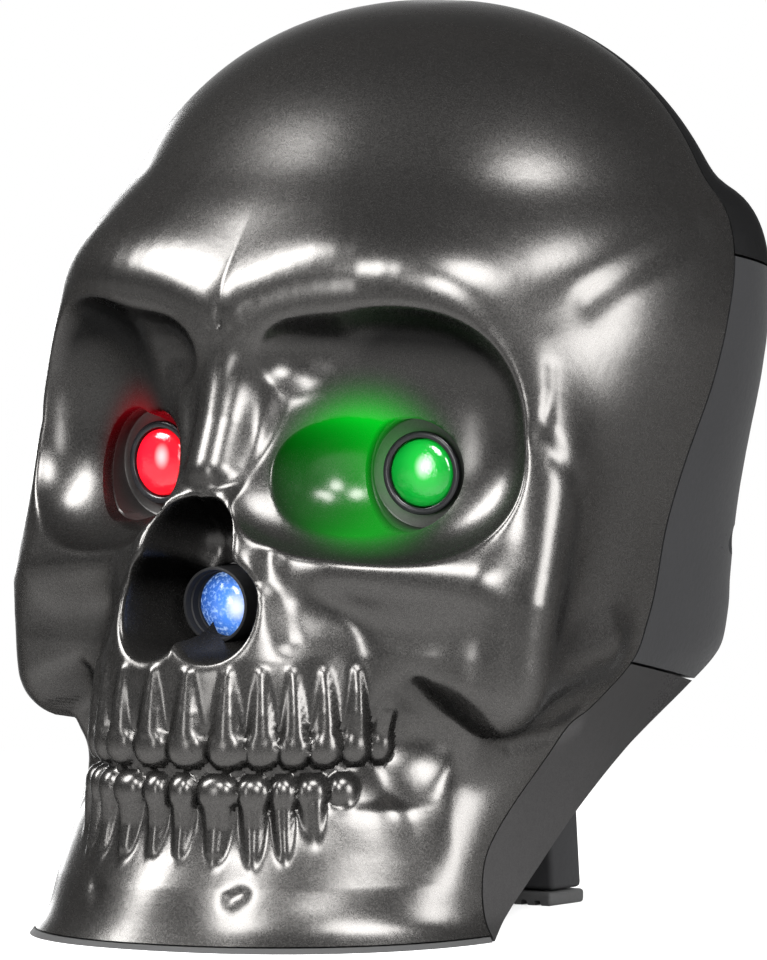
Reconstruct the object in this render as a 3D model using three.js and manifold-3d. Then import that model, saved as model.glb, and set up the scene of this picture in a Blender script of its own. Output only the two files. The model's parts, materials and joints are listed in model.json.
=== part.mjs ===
// Skull projector light: a hollow skull-shaped housing with a lit lens in each eye, a ripple
// projector behind the nose, and a hinged leg that props up the back of the head.
// Millimetres, +Z up. The face looks along -Y and the skull's left side is +X.
import * as THREE from "three";
import { mergeVertices } from "three/addons/utils/BufferGeometryUtils.js";
import Module from "manifold-3d";

const wasm = await Module();
wasm.setup();

// Driving dimensions of the head
const HEIGHT = 170;
const HALF_WIDTH = 62;
const DEPTH = 144;
const WALL = 2.4;
const SEAM_GAP = 0.5;
const FIT = 0.3;
const OVERRUN = 4;
const WELD = 0.0001;

// Base
const MAT_THICKNESS = 1;
const PLATE_THICKNESS = 2.6;
const BASE_SEAT = 2.6;
const TONGUE_WIDTH = 50;

// Eye lamps, with depths along each lamp's own axis from the bezel's rim
const EYE_CANT = THREE.MathUtils.degToRad(8);
const WELL_BORE = 21;
const CUP_WALL = 1.5;
const CUP_FLOOR = 1.6;
const EYE_BEZEL_OUTER = 15.4;
const EYE_BEZEL_LENGTH = 1.2;
const EYE_LENS_DIAMETER = 12.3;
const EYE_LENS_DOME = 1.5;
const EYE_BOARD_SETBACK = 5.6;
const BOARD_THICKNESS = 1.6;
const LED_BASE = 5;
const LED_HEIGHT = 1.6;

// Nose projector
const BARREL_OUTER = 14;
const BARREL_BORE = 12.4;
const HOUSING_WIDTH = 48;
const HOUSING_HEIGHT = 38;
const HOUSING_PLATE = 2;
const NOSE_LENS_DIAMETER = 11.8;
const NOSE_LENS_EDGE = 2;
const NOSE_LENS_DOME = 1.6;
const NOSE_LENS_SETBACK = 4.5;
const CONDENSER_SETBACK = 17;
const CONDENSER_EDGE = 1.5;
const CONDENSER_DOME = 2.4;
const DISC_DIAMETER = 39;
const DISC_THICKNESS = 2;
const DISC_BORE = 6;
const DISC_OFFSET = 13.5;
const DISC_CLEARANCE = 4;
const SHAFT_DIAMETER = 3;
const HUB_DIAMETER = 12;
const MOTOR_DIAMETER = 15;
const MOTOR_LENGTH = 13;
const BRACKET_GAP = 9;
const POST_DIAMETER = 4;
const LAMP_BOARD_WIDTH = 14;
const LAMP_BOARD_HEIGHT = 16;
const SINK_DEPTH = 12;
const SINK_FINS = 5;

// Rear electronics
const MAIN_BOARD_WIDTH = 48;
const MAIN_BOARD_HEIGHT = 46;
const BOARD_STANDOFF = 10;
const BOARD_SCREW_LENGTH = 6;
const CHIP_SIZE = 9;
const CHIP_HEIGHT = 1.4;
const BUTTON_DIAMETER = 9;
const BUTTON_PITCH = 15;
const BUTTON_TRAVEL = 1;
const BUTTON_FLANGE = 1.4;
const SWITCH_SIZE = 6;
const SWITCH_HEIGHT = 3.6;
const INLET_WIDTH = 11;
const INLET_HEIGHT = 8;
const INLET_SLOT = 5;
const INLET_INSET = 2.4;
const VENT_SLOTS = 3;
const VENT_WIDTH = 26;
const VENT_HEIGHT = 2.2;
const VENT_PITCH = 5;

// Stand
const LEG_WIDTH = 30;
const LEG_THICKNESS = 10;
const LEG_LEAN = THREE.MathUtils.degToRad(5);
const PIN_DIAMETER = 3;
const PIN_PLAY = 0.08;
const EAR_THICKNESS = 3;
const FOOT_PAD_HEIGHT = 2.6;
const RIB_PITCH = 3;
const RIB_HEIGHT = 1;

// Screws
const SCREW_SHANK = 2.6;
const SCREW_HEAD = 5;
const SCREW_HEAD_HEIGHT = 2;
const SCREW_LENGTH = 10;
const BOSS_DIAMETER = 7;
const FACE_BASE_SCREWS = 3;

// Teeth
const TOOTH_WIDTH = 6.6;
const TOOTH_DEPTH = 1.9;
const TEETH_SHARES = [0.238, 0.19, 0.15];

// Grid of the head: rays across each half of the face, rays round the rear, rows from the crown
const FACE_SPREAD_SHARES = [
  0, 0.05, 0.1, 0.15, 0.21, 0.28, 0.35, 0.42, 0.49, 0.55, 0.6, 0.64, 0.68, 0.72, 0.77, 0.84, 0.92, 1,
];
const ROW_SHARES = [
  0.968, 0.945, 0.91, 0.87, 0.82, 0.77, 0.725, 0.69, 0.665, 0.64, 0.615, 0.585, 0.55, 0.515, 0.48, 0.45,
  0.42, 0.395, 0.37, 0.345, 0.32, 0.295, 0.27, 0.24, 0.21, 0.175, 0.14, 0.105, 0.07, 0.035, 0,
];
const REAR_COLUMNS = 12;
const SOCKET_COLUMNS = 20;
const CROWN_START_SHARE = 0.88;
const FOOT_CENTRE_SHARE = -0.2;
// Share of each half face that fans straight forward, and where its turned corner ends
const FRONT_SHARE = 0.62;
const CORNER_SHARE = 0.82;
const CROWN_TILT = THREE.MathUtils.degToRad(20);

// Head outline by height: half width at the seam, seam, front and rear, then the fullness of
// the front and rear sections. Heights are shares of HEIGHT, half widths of HALF_WIDTH and the
// rest of DEPTH, counted from the seam's own zero.
const OUTLINE_SHARES = [
  [0, 0.726, -0.076, -0.41, 0.34, 2.25, 4],
  [0.024, 0.7, -0.08, -0.4, 0.36, 2, 4],
  [0.06, 0.694, -0.083, -0.385, 0.4, 1.85, 4],
  [0.095, 0.694, -0.072, -0.368, 0.44, 1.8, 4],
  [0.13, 0.7, -0.036, -0.347, 0.48, 1.85, 4],
  [0.176, 0.718, 0.025, -0.306, 0.52, 2, 3.8],
  [0.218, 0.75, 0.077, -0.264, 0.54, 2.3, 3.8],
  [0.26, 0.8, 0.14, -0.23, 0.55, 2.8, 3.6],
  [0.295, 0.845, 0.176, -0.215, 0.56, 3.2, 3.4],
  [0.335, 0.871, 0.19, -0.208, 0.568, 3.4, 3.2],
  [0.37, 0.887, 0.198, -0.208, 0.572, 3.4, 3],
  [0.453, 0.911, 0.212, -0.201, 0.578, 3.4, 2.9],
  [0.518, 0.94, 0.229, -0.191, 0.583, 3.2, 2.8],
  [0.594, 0.98, 0.264, -0.187, 0.588, 2.8, 2.7],
  [0.66, 1, 0.29, -0.187, 0.59, 2.6, 2.6],
  [0.73, 0.99, 0.316, -0.174, 0.582, 2.5, 2.5],
  [0.788, 0.93, 0.33, -0.132, 0.556, 2.3, 2.4],
  [0.847, 0.81, 0.337, -0.063, 0.52, 2.1, 2.3],
];
// Column of chin, teeth and nose: height, half width, front and fullness
const COLUMN_SHARES = [
  [0.07, 0.435, -0.319, 2.3],
  [0.118, 0.468, -0.344, 2.3],
  [0.176, 0.484, -0.361, 2.3],
  [0.235, 0.484, -0.361, 2.3],
  [0.282, 0.476, -0.354, 2.3],
  [0.33, 0.452, -0.347, 2.2],
  [0.376, 0.403, -0.35, 2],
  [0.424, 0.339, -0.358, 1.7],
  [0.47, 0.274, -0.36, 1.45],
  [0.494, 0.242, -0.347, 1.4],
  [0.53, 0.194, -0.309, 1.4],
  [0.57, 0.161, -0.267, 1.5],
  [0.612, 0.145, -0.24, 1.8],
  [0.66, 0.194, -0.226, 2],
  [0.694, 0.226, -0.205, 2],
];
// Seam curve from base to crown: height, depth
const SEAM_SHARES = [
  [0, -0.076],
  [0.024, -0.08],
  [0.06, -0.083],
  [0.095, -0.072],
  [0.13, -0.036],
  [0.176, 0.025],
  [0.218, 0.077],
  [0.26, 0.14],
  [0.295, 0.176],
  [0.335, 0.19],
  [0.37, 0.198],
  [0.453, 0.212],
  [0.518, 0.229],
  [0.594, 0.264],
  [0.66, 0.29],
  [0.73, 0.316],
  [0.788, 0.33],
  [0.835, 0.337],
  [0.88, 0.34],
  [0.93, 0.34],
  [0.974, 0.333],
];
// Inner core that the rays leave from: height, half width, depth, and how boxy the ray fan is
const CORE_SHARES = [
  [0, 0.56, -0.1, 1],
  [0.13, 0.6, -0.09, 1],
  [0.218, 0.66, -0.06, 1],
  [0.295, 0.76, -0.056, 1],
  [0.453, 0.82, -0.056, 1],
  [0.56, 0.78, -0.05, 1],
  [0.66, 0.62, 0, 0.9],
  [0.76, 0.4, 0.12, 0.5],
  [0.85, 0.2, 0.25, 0.15],
  [0.9, 0.1, 0.33, 0],
  [0.974, 0.1, 0.333, 0],
];
// Braincase ellipsoid: centre, front and rear radii, and fullness
const CRANIUM_SHARES = {
  at: [0, 0.278, 0.6235],
  front: [0.976, 0.444, 0.3765],
  rear: [0.976, 0.312, 0.3765],
  fullness: 2.15,
};
// Rounded ridges, each a tapered rod: two ends, two radii and the blend, as shares of
// HALF_WIDTH, DEPTH, HEIGHT and, for radii and blends, of HALF_WIDTH
const RIDGE_SHARES = [
  { from: [0.05, -0.188, 0.66], to: [0.45, -0.174, 0.676], radii: [0.088, 0.08], blend: 0.16 },
  { from: [0.45, -0.174, 0.676], to: [0.72, -0.1, 0.635], radii: [0.08, 0.065], blend: 0.145 },
  { from: [0.72, -0.1, 0.635], to: [0.806, -0.062, 0.506], radii: [0.065, 0.065], blend: 0.13 },
  { from: [0.806, -0.062, 0.506], to: [0.823, -0.097, 0.365], radii: [0.065, 0.105], blend: 0.145 },
  { from: [0.823, -0.097, 0.365], to: [0.758, -0.104, 0.276], radii: [0.105, 0.13], blend: 0.16 },
  { from: [0.79, -0.083, 0.282], to: [0.815, 0.097, 0.318], radii: [0.08, 0.065], blend: 0.16 },
  { from: [0.258, -0.229, 0.406], to: [0.742, -0.132, 0.388], radii: [0.065, 0.08], blend: 0.145 },
];
// Hollows, each an ellipsoid: centre, radii, turn about Z and fullness. Level radii are shares of
// HALF_WIDTH and upright ones of HEIGHT. The cheeks blend in, and sockets and nose have a crisp rim.
const CHEEK_SHARES = [
  { at: [0.742, -0.25, 0.194], radii: [0.21, 0.242, 0.059], turn: 0.5, fullness: 2, blend: 0.145 },
];
const SOCKET_SHARES = [
  { at: [0.58, -0.212, 0.529], radii: [0.403, 0.234, 0.121], turn: 0.52, fullness: 2.5 },
  { at: [0.089, -0.347, 0.356], radii: [0.122, 0.387, 0.059], turn: 0, fullness: 2.2 },
  { at: [0.022, -0.36, 0.42], radii: [0.11, 0.34, 0.073], turn: -0.05, fullness: 2 },
];
// Teeth: places along the arch as shares of a quarter turn, upper and lower
const TEETH_UP_SHARES = [0.07, 0.205, 0.326, 0.449, 0.567, 0.705];
const TEETH_LOW_SHARES = [0.045, 0.14, 0.235, 0.34, 0.46, 0.6];

// Crown and level splits: the rear cover lies between two parallel sloping planes
const COVER_TOP_SHARE = 0.729;
const COVER_FOOT_SHARE = 0.29;
const SPLIT_SLOPE = 0.18;
// Sloping underside behind the jaw: height, depth
const UNDERSIDE_SHARES = [
  [0, -0.076],
  [0.026, -0.028],
  [0.076, 0.056],
  [0.138, 0.153],
  [0.197, 0.25],
  [0.256, 0.361],
  [0.3, 0.458],
  [0.36, 0.556],
  [0.5, 0.7],
];

// Places of the lamps, screws and stand, as shares of HALF_WIDTH, DEPTH and HEIGHT
const REAR_SHARE = 0.59;
const COLUMN_ROOT_SHARE = -0.111;
const EYE_SHARES = [0.463, -0.073, 0.502];
const NOSE_SHARES = [-0.215, 0.362];
const FLANGE_SHARE = -0.0625;
const COVER_SCREW_SHARES = [
  [0.8, 0.41],
  [0.8, 0.64],
];
const CROWN_SCREW_SHARES = [[0.71, 0.788]];
const BASE_SCREW_SHARES = [
  [0, -0.33],
  [0.53, -0.165],
  [0.226, -0.12],
];
const TONGUE_SHARES = [-0.15, -0.02];
const HOUSING_SCREW_SHARES = [
  [0.29, 0.25],
  [0.427, -0.25],
];
const HOUSING_POST_SHARES = [
  [0.135, 0.34],
  [0.458, -0.52],
];
const HOUSING_RISE_SHARE = -0.08;
const REAR_WALL_SHARE = 0.573;
const BOARD_HEIGHT_SHARE = 0.54;
const BUTTON_RISE_SHARE = 0.24;
const INLET_DROP_SHARE = 0.37;
const PIN_SHARES = [0.403, 0.229];

const EYE_X = EYE_SHARES[0] * HALF_WIDTH;
const EYE_Y = EYE_SHARES[1] * DEPTH;
const EYE_Z = EYE_SHARES[2] * HEIGHT;
const NOSE_Y = NOSE_SHARES[0] * DEPTH;
const NOSE_Z = NOSE_SHARES[1] * HEIGHT;
const FLANGE_Y = FLANGE_SHARE * DEPTH;
const PIN_Y = PIN_SHARES[0] * DEPTH;
const PIN_Z = PIN_SHARES[1] * HEIGHT;
const REAR_WALL = REAR_WALL_SHARE * DEPTH;
const DISC_Z = NOSE_Z - DISC_OFFSET;
const FAR = HEIGHT + DEPTH;
const AXIS_X = new THREE.Vector3(1, 0, 0);
const AXIS_Y = new THREE.Vector3(0, 1, 0);
const AXIS_Z = new THREE.Vector3(0, 0, 1);

// A smooth curve through the rows of a table, read at a height
function rowAt(table, share) {
  const last = table.length - 1;
  const at = Math.min(Math.max(share, table[0][0]), table[last][0]);
  let i = 0;
  while (i < last - 1 && table[i + 1][0] <= at) i += 1;
  const slope = (k, c) => {
    const a = table[Math.max(k - 1, 0)];
    const b = table[Math.min(k + 1, last)];
    return (b[c] - a[c]) / (b[0] - a[0]);
  };
  const span = table[i + 1][0] - table[i][0];
  const t = (at - table[i][0]) / span;
  const t2 = t * t;
  const t3 = t2 * t;
  return table[i].slice(1).map((from, k) => {
    const c = k + 1;
    const to = table[i + 1][c];
    const ease = 3 * t2 - 2 * t3;
    const bend = (t3 - 2 * t2 + t) * slope(i, c) + (t3 - t2) * slope(i + 1, c);
    return from + (to - from) * ease + bend * span;
  });
}

// Union and intersection of two signed fields, rounded over the length k
function blendMin(a, b, k) {
  const h = Math.max(k - Math.abs(a - b), 0) / k;
  return Math.min(a, b) - (h * h * h * k) / 6;
}
function blendMax(a, b, k) {
  return -blendMin(-a, -b, k);
}

// Signed fields, negative inside
function sectionField(x, y, halfWidth, depth, fullness) {
  const q = ((Math.abs(x) / halfWidth) ** fullness + (Math.abs(y) / depth) ** fullness) ** (1 / fullness);
  const r = Math.hypot(x, y);
  return r - r / Math.max(q, Number.EPSILON);
}
function ellipsoidField(p, { at, radii, turn, fullness }) {
  const c = Math.cos(turn);
  const s = Math.sin(turn);
  const dx = p.x - at.x;
  const dy = p.y - at.y;
  const dz = p.z - at.z;
  const u = Math.abs(c * dx + s * dy) / radii[0];
  const v = Math.abs(c * dy - s * dx) / radii[1];
  const w = Math.abs(dz) / radii[2];
  const q = (u ** fullness + v ** fullness + w ** fullness) ** (1 / fullness);
  const r = Math.hypot(dx, dy, dz);
  return r - r / Math.max(q, Number.EPSILON);
}
function ridgeField(p, { from, to, radii }) {
  const along = to.clone().sub(from);
  const t = THREE.MathUtils.clamp(p.clone().sub(from).dot(along) / along.lengthSq(), 0, 1);
  return p.distanceTo(from.clone().addScaledVector(along, t)) - THREE.MathUtils.lerp(radii[0], radii[1], t);
}

function place([x, y, z]) {
  return new THREE.Vector3(x * HALF_WIDTH, y * DEPTH, z * HEIGHT);
}
const RIDGES = RIDGE_SHARES.map((r) => ({
  from: place(r.from),
  to: place(r.to),
  radii: r.radii.map((v) => v * HALF_WIDTH),
  blend: r.blend * HALF_WIDTH,
}));
const sized = (hollow) => ({
  ...hollow,
  at: place(hollow.at),
  radii: [hollow.radii[0] * HALF_WIDTH, hollow.radii[1] * HALF_WIDTH, hollow.radii[2] * HEIGHT],
});
const CHEEKS = CHEEK_SHARES.map(sized);
const SOCKETS = SOCKET_SHARES.map(sized);
const CRANIUM = {
  at: place(CRANIUM_SHARES.at),
  frontRadii: place(CRANIUM_SHARES.front).toArray(),
  rearRadii: place(CRANIUM_SHARES.rear).toArray(),
  fullness: CRANIUM_SHARES.fullness,
};
const SOFT = 0.1 * HALF_WIDTH;

// The head's outer form
function headField(p) {
  const q = new THREE.Vector3(Math.abs(p.x), p.y, p.z);
  const share = p.z / HEIGHT;
  const [width, seam, front, rear, frontFull, rearFull] = rowAt(OUTLINE_SHARES, share);
  const behind = p.y - seam * DEPTH;
  const block =
    behind < 0
      ? sectionField(q.x, behind, width * HALF_WIDTH, (seam - front) * DEPTH, frontFull)
      : sectionField(q.x, behind, width * HALF_WIDTH, (rear - seam) * DEPTH, rearFull);
  const radii = p.y < CRANIUM.at.y ? CRANIUM.frontRadii : CRANIUM.rearRadii;
  const cranium = ellipsoidField(q, { at: CRANIUM.at, radii, turn: 0, fullness: CRANIUM.fullness });
  let f = blendMin(cranium, blendMax(block, p.z - 0.8 * HEIGHT, 1.6 * SOFT), SOFT);
  const [columnWidth, columnFront, columnFull] = rowAt(COLUMN_SHARES, share);
  const columnRoot = COLUMN_ROOT_SHARE * DEPTH;
  const ahead = Math.max(columnRoot - p.y, 0);
  const columnReach = columnRoot - columnFront * DEPTH;
  const column = sectionField(q.x, ahead, columnWidth * HALF_WIDTH, columnReach, columnFull);
  const ends = Math.max(blendMax(p.z - 0.682 * HEIGHT, 0.059 * HEIGHT - p.z, SOFT), p.y);
  f = blendMin(f, blendMax(column, ends, 1.3 * SOFT), 1.15 * SOFT);
  for (const ridge of RIDGES) f = blendMin(f, ridgeField(q, ridge), ridge.blend);
  for (const cheek of CHEEKS) f = blendMax(f, -ellipsoidField(q, cheek), cheek.blend * HALF_WIDTH);
  return f;
}

// The form's depth below the surface, in millimetres near it
function headDepth(p) {
  const step = 0.01 * WALL;
  const f = headField(p);
  const slope = ["x", "y", "z"].map((axis) => {
    const moved = p.clone();
    moved[axis] += step;
    return (headField(moved) - f) / step;
  });
  return f / Math.max(Math.hypot(...slope), 0.2);
}

// Ray of a grid place: turn runs once round the head from its right seam over the face
function rayAt(share, turn) {
  const seam = rowAt(SEAM_SHARES, share)[0] * DEPTH;
  const z = share * HEIGHT;
  if (turn > 0.5) {
    const angle = (turn - 0.5) * 2 * Math.PI;
    return {
      from: new THREE.Vector3(0, seam, z),
      way: new THREE.Vector3(Math.cos(angle), Math.sin(angle), 0),
    };
  }
  const side = turn * 4 - 1;
  const t = Math.abs(side);
  const [coreWidth, coreDepth, boxy] = rowAt(CORE_SHARES, share);
  const corner = THREE.MathUtils.clamp((t - FRONT_SHARE) / (CORNER_SHARE - FRONT_SHARE), 0, 1);
  const angle = (THREE.MathUtils.lerp(t, corner, boxy) * Math.PI) / 2;
  const back = THREE.MathUtils.clamp((t - CORNER_SHARE) / (1 - CORNER_SHARE), 0, 1);
  const y = seam - boxy * (seam - Math.min(coreDepth * DEPTH, seam)) * (1 - back);
  const tilt = CROWN_TILT * THREE.MathUtils.clamp((share - 0.65) / 0.33, 0, 1) ** 2;
  const sign = Math.sign(side);
  const forward = Math.cos(angle);
  const x = sign * boxy * coreWidth * HALF_WIDTH * Math.min(t / FRONT_SHARE, 1);
  return {
    from: new THREE.Vector3(x, y, z + (seam - y) * Math.tan(tilt)),
    way: new THREE.Vector3(sign * Math.sin(angle), -forward * Math.cos(tilt), forward * Math.sin(tilt)),
  };
}

// Where a ray leaves the form, at a level below its surface
function exitPoint({ from, way }, level) {
  const field = level === 0 ? headField : headDepth;
  const reach = 0.62 * DEPTH;
  const steps = 70;
  const at = (r) => from.clone().addScaledVector(way, r);
  let low = 0;
  let high = reach;
  for (let i = 1; i <= steps; i += 1) {
    const r = (reach * i) / steps;
    if (field(at(r)) > level) {
      high = r;
      break;
    }
    low = r;
  }
  for (let i = 0; i < 16; i += 1) {
    const middle = (low + high) / 2;
    if (field(at(middle)) > level) high = middle;
    else low = middle;
  }
  return at((low + high) / 2);
}

// A manifold solid from a geometry, and back
function solidOf(geometry) {
  const g = geometry.index ? geometry.toNonIndexed() : geometry;
  const bare = new THREE.BufferGeometry().setAttribute("position", g.getAttribute("position").clone());
  const merged = mergeVertices(bare, WELD);
  return new wasm.Manifold(
    new wasm.Mesh({
      numProp: 3,
      vertProperties: merged.attributes.position.array,
      triVerts: new Uint32Array(merged.index.array),
    }),
  );
}
function geometryOf(solid) {
  const mesh = solid.getMesh();
  const g = new THREE.BufferGeometry();
  g.setAttribute("position", new THREE.BufferAttribute(new Float32Array(mesh.vertProperties), 3));
  g.setIndex(new THREE.BufferAttribute(new Uint32Array(mesh.triVerts), 1));
  return g;
}

// Closed head at a level, on a sphere's grid: columns round the head, rows from crown to base
function headSolid(level) {
  const half = FACE_SPREAD_SHARES.length - 1;
  const face = [...FACE_SPREAD_SHARES.map((t) => (1 - t) / 4).reverse()];
  FACE_SPREAD_SHARES.slice(1).forEach((t) => face.push((1 + t) / 4));
  const turns = [...face];
  for (let i = 1; i <= REAR_COLUMNS; i += 1) turns.push(0.5 + (0.5 * i) / REAR_COLUMNS);
  const columns = 2 * half + REAR_COLUMNS;
  const rows = ROW_SHARES.length + 1;
  const g = new THREE.SphereGeometry(1, columns, rows);
  const spots = g.getAttribute("position");
  const put = (row, column, p) => spots.setXYZ(row * (columns + 1) + column, p.x, p.y, p.z);
  const crownY = SEAM_SHARES[SEAM_SHARES.length - 1][1] * DEPTH;
  const up = { from: new THREE.Vector3(0, crownY, CROWN_START_SHARE * HEIGHT), way: AXIS_Z };
  const crown = exitPoint(up, level);
  const drop = level < 0 ? OVERRUN : 0;
  const foot = new THREE.Vector3(0, FOOT_CENTRE_SHARE * DEPTH, -drop);
  for (let column = 0; column <= columns; column += 1) {
    put(0, column, crown);
    put(rows, column, foot);
    ROW_SHARES.forEach((share, i) => {
      const p = exitPoint(rayAt(share, turns[column % columns]), level);
      if (share === 0) p.z -= drop;
      put(i + 1, column, p);
    });
  }
  return solidOf(g);
}

// Basic solids, placed
function box(width, depth, height, x, y, z) {
  return solidOf(new THREE.BoxGeometry(width, depth, height).translate(x, y, z));
}
function rodY(radius, y0, y1, x, z, sides = 16) {
  const g = new THREE.CylinderGeometry(radius, radius, y1 - y0, sides);
  return solidOf(g.translate(x, (y0 + y1) / 2, z));
}
function rodZ(radius, z0, z1, x, y, sides = 16) {
  const g = new THREE.CylinderGeometry(radius, radius, z1 - z0, sides).rotateX(Math.PI / 2);
  return solidOf(g.translate(x, y, (z0 + z1) / 2));
}
function rodX(radius, x0, x1, y, z, sides = 16) {
  const g = new THREE.CylinderGeometry(radius, radius, x1 - x0, sides).rotateZ(Math.PI / 2);
  return solidOf(g.translate((x0 + x1) / 2, y, z));
}
function tubeY(outer, inner, y0, y1, x, z, sides = 22) {
  return rodY(outer, y0, y1, x, z, sides).subtract(rodY(inner, y0 - OVERRUN, y1 + OVERRUN, x, z, sides));
}
// Turned about a line along Y: profile of [radius, y] from one end of the axis to the other
function turned(profile, x, z, sides = 22) {
  const points = profile.map(([r, y]) => new THREE.Vector2(r, y));
  return solidOf(new THREE.LatheGeometry(points, sides).translate(x, 0, z));
}
// Outline in the YZ plane, stretched across X
function slab(outline, halfWidth = FAR, x = 0) {
  const shape = new THREE.Shape(outline.map(([y, z]) => new THREE.Vector2(y, z)));
  const g = new THREE.ExtrudeGeometry(shape, { depth: 2 * halfWidth, bevelEnabled: false });
  g.translate(0, 0, -halfWidth).applyMatrix4(new THREE.Matrix4().makeBasis(AXIS_Y, AXIS_Z, AXIS_X));
  return solidOf(g.translate(x, 0, 0));
}
function moved(solid, turnAxis, angle, to) {
  const g = geometryOf(solid);
  const matrix = new THREE.Matrix4().makeRotationAxis(turnAxis, angle).setPosition(to);
  return solidOf(g.applyMatrix4(matrix));
}
function joined(solids) {
  return solids.reduce((all, one) => all.add(one));
}
function without(solid, cutters) {
  return cutters.reduce((left, cutter) => left.subtract(cutter), solid);
}

// Regions that the shells are cut from
function seamY(share) {
  return rowAt(SEAM_SHARES, share)[0] * DEPTH;
}
function seamSide(offset, side) {
  const line = [[seamY(0) + offset, -FAR]];
  [...ROW_SHARES].reverse().forEach((share) => line.push([seamY(share) + offset, share * HEIGHT]));
  line.push([seamY(1) + offset, FAR]);
  return slab([...line, [side * FAR, FAR], [side * FAR, -FAR]]);
}
function splitSide(share, offset, side) {
  const at = (y) => share * HEIGHT - SPLIT_SLOPE * (y - seamY(share)) + offset;
  return slab([[-FAR, at(-FAR)], [FAR, at(FAR)], [FAR, side * 2 * FAR], [-FAR, side * 2 * FAR]]);
}
function aboveUnderside(offset, base) {
  const curve = UNDERSIDE_SHARES.map(([z, y]) => [y * DEPTH, z * HEIGHT + offset]);
  return slab([[-FAR, base], [curve[0][0], base], ...curve, [FAR, FAR], [-FAR, FAR]]);
}

const BASE_TOP = MAT_THICKNESS + FIT + PLATE_THICKNESS;
const SHELL_BASE = MAT_THICKNESS + FIT;
// Ellipsoid of a hollow on one side of the head, larger all round by an allowance
function socket({ at, radii, turn, fullness }, side, allowance) {
  const g = new THREE.SphereGeometry(1, SOCKET_COLUMNS, SOCKET_COLUMNS / 2).rotateX(Math.PI / 2);
  const spots = g.getAttribute("position");
  for (let i = 0; i < spots.count; i += 1) {
    const d = new THREE.Vector3().fromBufferAttribute(spots, i);
    const sum = [d.x, d.y, d.z].reduce((total, v) => total + Math.abs(v) ** fullness, 0);
    d.divideScalar(sum ** (1 / fullness));
    spots.setXYZ(i, d.x, d.y, d.z);
  }
  g.scale(...radii.map((r) => r + allowance)).rotateZ(side * turn);
  return solidOf(g.translate(side * at.x, at.y, at.z));
}
function sockets(allowance) {
  return joined(SOCKETS.flatMap((hollow) => [-1, 1].map((side) => socket(hollow, side, allowance))));
}

const head = headSolid(0).subtract(sockets(0));
const hollow = headSolid(-WALL).subtract(sockets(WALL));
const room = headSolid(-WALL - FIT).subtract(sockets(WALL + FIT)).intersect(aboveUnderside(WALL + FIT, -FAR));
const skin = head
  .intersect(aboveUnderside(0, SHELL_BASE))
  .subtract(hollow.intersect(aboveUnderside(WALL, -FAR)));

const root = new THREE.Group();
root.name = "skull_projector_light";
root.position.y = -((OUTLINE_SHARES[0][3] + REAR_SHARE) / 2) * DEPTH;
function piece(name, solid, finish) {
  const mesh = new THREE.Mesh(geometryOf(solid), new THREE.MeshStandardMaterial(finish));
  mesh.name = name;
  root.add(mesh);
}
const PAINT = { color: 0x55534f, metalness: 0.7, roughness: 0.35 };
const DARK_PAINT = { color: 0x3a3a3b, metalness: 0.4, roughness: 0.5 };
const BLACK = { color: 0x141414, roughness: 0.5 };
const RUBBER = { color: 0x1c1c1c, roughness: 0.9 };
const STEEL = { color: 0xb8b8b4, metalness: 1, roughness: 0.35 };
const CLEAR = { color: 0xd8ecf4, roughness: 0.1 };
const BOARD_GREEN = { color: 0x1f5a34, roughness: 0.5 };

// Teeth stand on the arch where a level ray from its centre leaves the head
function tooth(side, turn, low, high) {
  const angle = side * turn * (Math.PI / 2);
  const middle = (low + high) / 2;
  const from = new THREE.Vector3(0, COLUMN_ROOT_SHARE * DEPTH, middle);
  const p = exitPoint({ from, way: new THREE.Vector3(Math.sin(angle), -Math.cos(angle), 0) }, 0);
  const g = new THREE.SphereGeometry(1, 7, 5).rotateX(Math.PI / 2);
  g.scale(TOOTH_WIDTH / 2, TOOTH_DEPTH, (high - low) / 2).rotateZ(angle);
  return solidOf(g.translate(p.x, p.y, middle));
}
function teeth() {
  const [top, bite, bottom] = TEETH_SHARES.map((share) => share * HEIGHT);
  return [-1, 1].flatMap((side) => [
    ...TEETH_UP_SHARES.map((turn) => tooth(side, turn, bite, top)),
    ...TEETH_LOW_SHARES.map((turn) => tooth(side, turn, bottom, bite)),
  ]);
}

// Screw along Y: the head's seat, and the way that the shank points
function screwY(seat, x, z, way, length = SCREW_LENGTH) {
  const ends = (a, b) => [Math.min(a, b), Math.max(a, b)];
  const shank = rodY(SCREW_SHANK / 2, ...ends(seat - way * FIT, seat + way * length), x, z, 8);
  return shank.add(rodY(SCREW_HEAD / 2, ...ends(seat, seat - way * SCREW_HEAD_HEIGHT), x, z, 8));
}
const CLEARANCE = SCREW_SHANK / 2 + FIT;
const COUNTERBORE = SCREW_HEAD / 2 + FIT;

// Shell screws: from the rear, through a column behind the seam, into a boss in front of it
function shellScrews(shares) {
  return shares.flatMap(([x, z]) =>
    [-1, 1].map((side) => {
      const seam = seamY(z);
      return { x: side * x * HALF_WIDTH, z: z * HEIGHT, seam, seat: seam + BOSS_DIAMETER / 2 };
    }),
  );
}
const COVER_SCREWS = shellScrews(COVER_SCREW_SHARES);
const CROWN_SCREWS = shellScrews(CROWN_SCREW_SHARES);
function sideWeb(x, z, y0, y1) {
  return box(HALF_WIDTH / 4, y1 - y0, WALL, x + (Math.sign(x) * HALF_WIDTH) / 8, (y0 + y1) / 2, z);
}
function frontBoss({ x, z, seam }) {
  const [y0, y1] = [seam - 2 * BOSS_DIAMETER, seam - SEAM_GAP];
  return rodY(BOSS_DIAMETER / 2, y0, y1, x, z, 9).add(sideWeb(x, z, y0, y1)).intersect(head);
}
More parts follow.
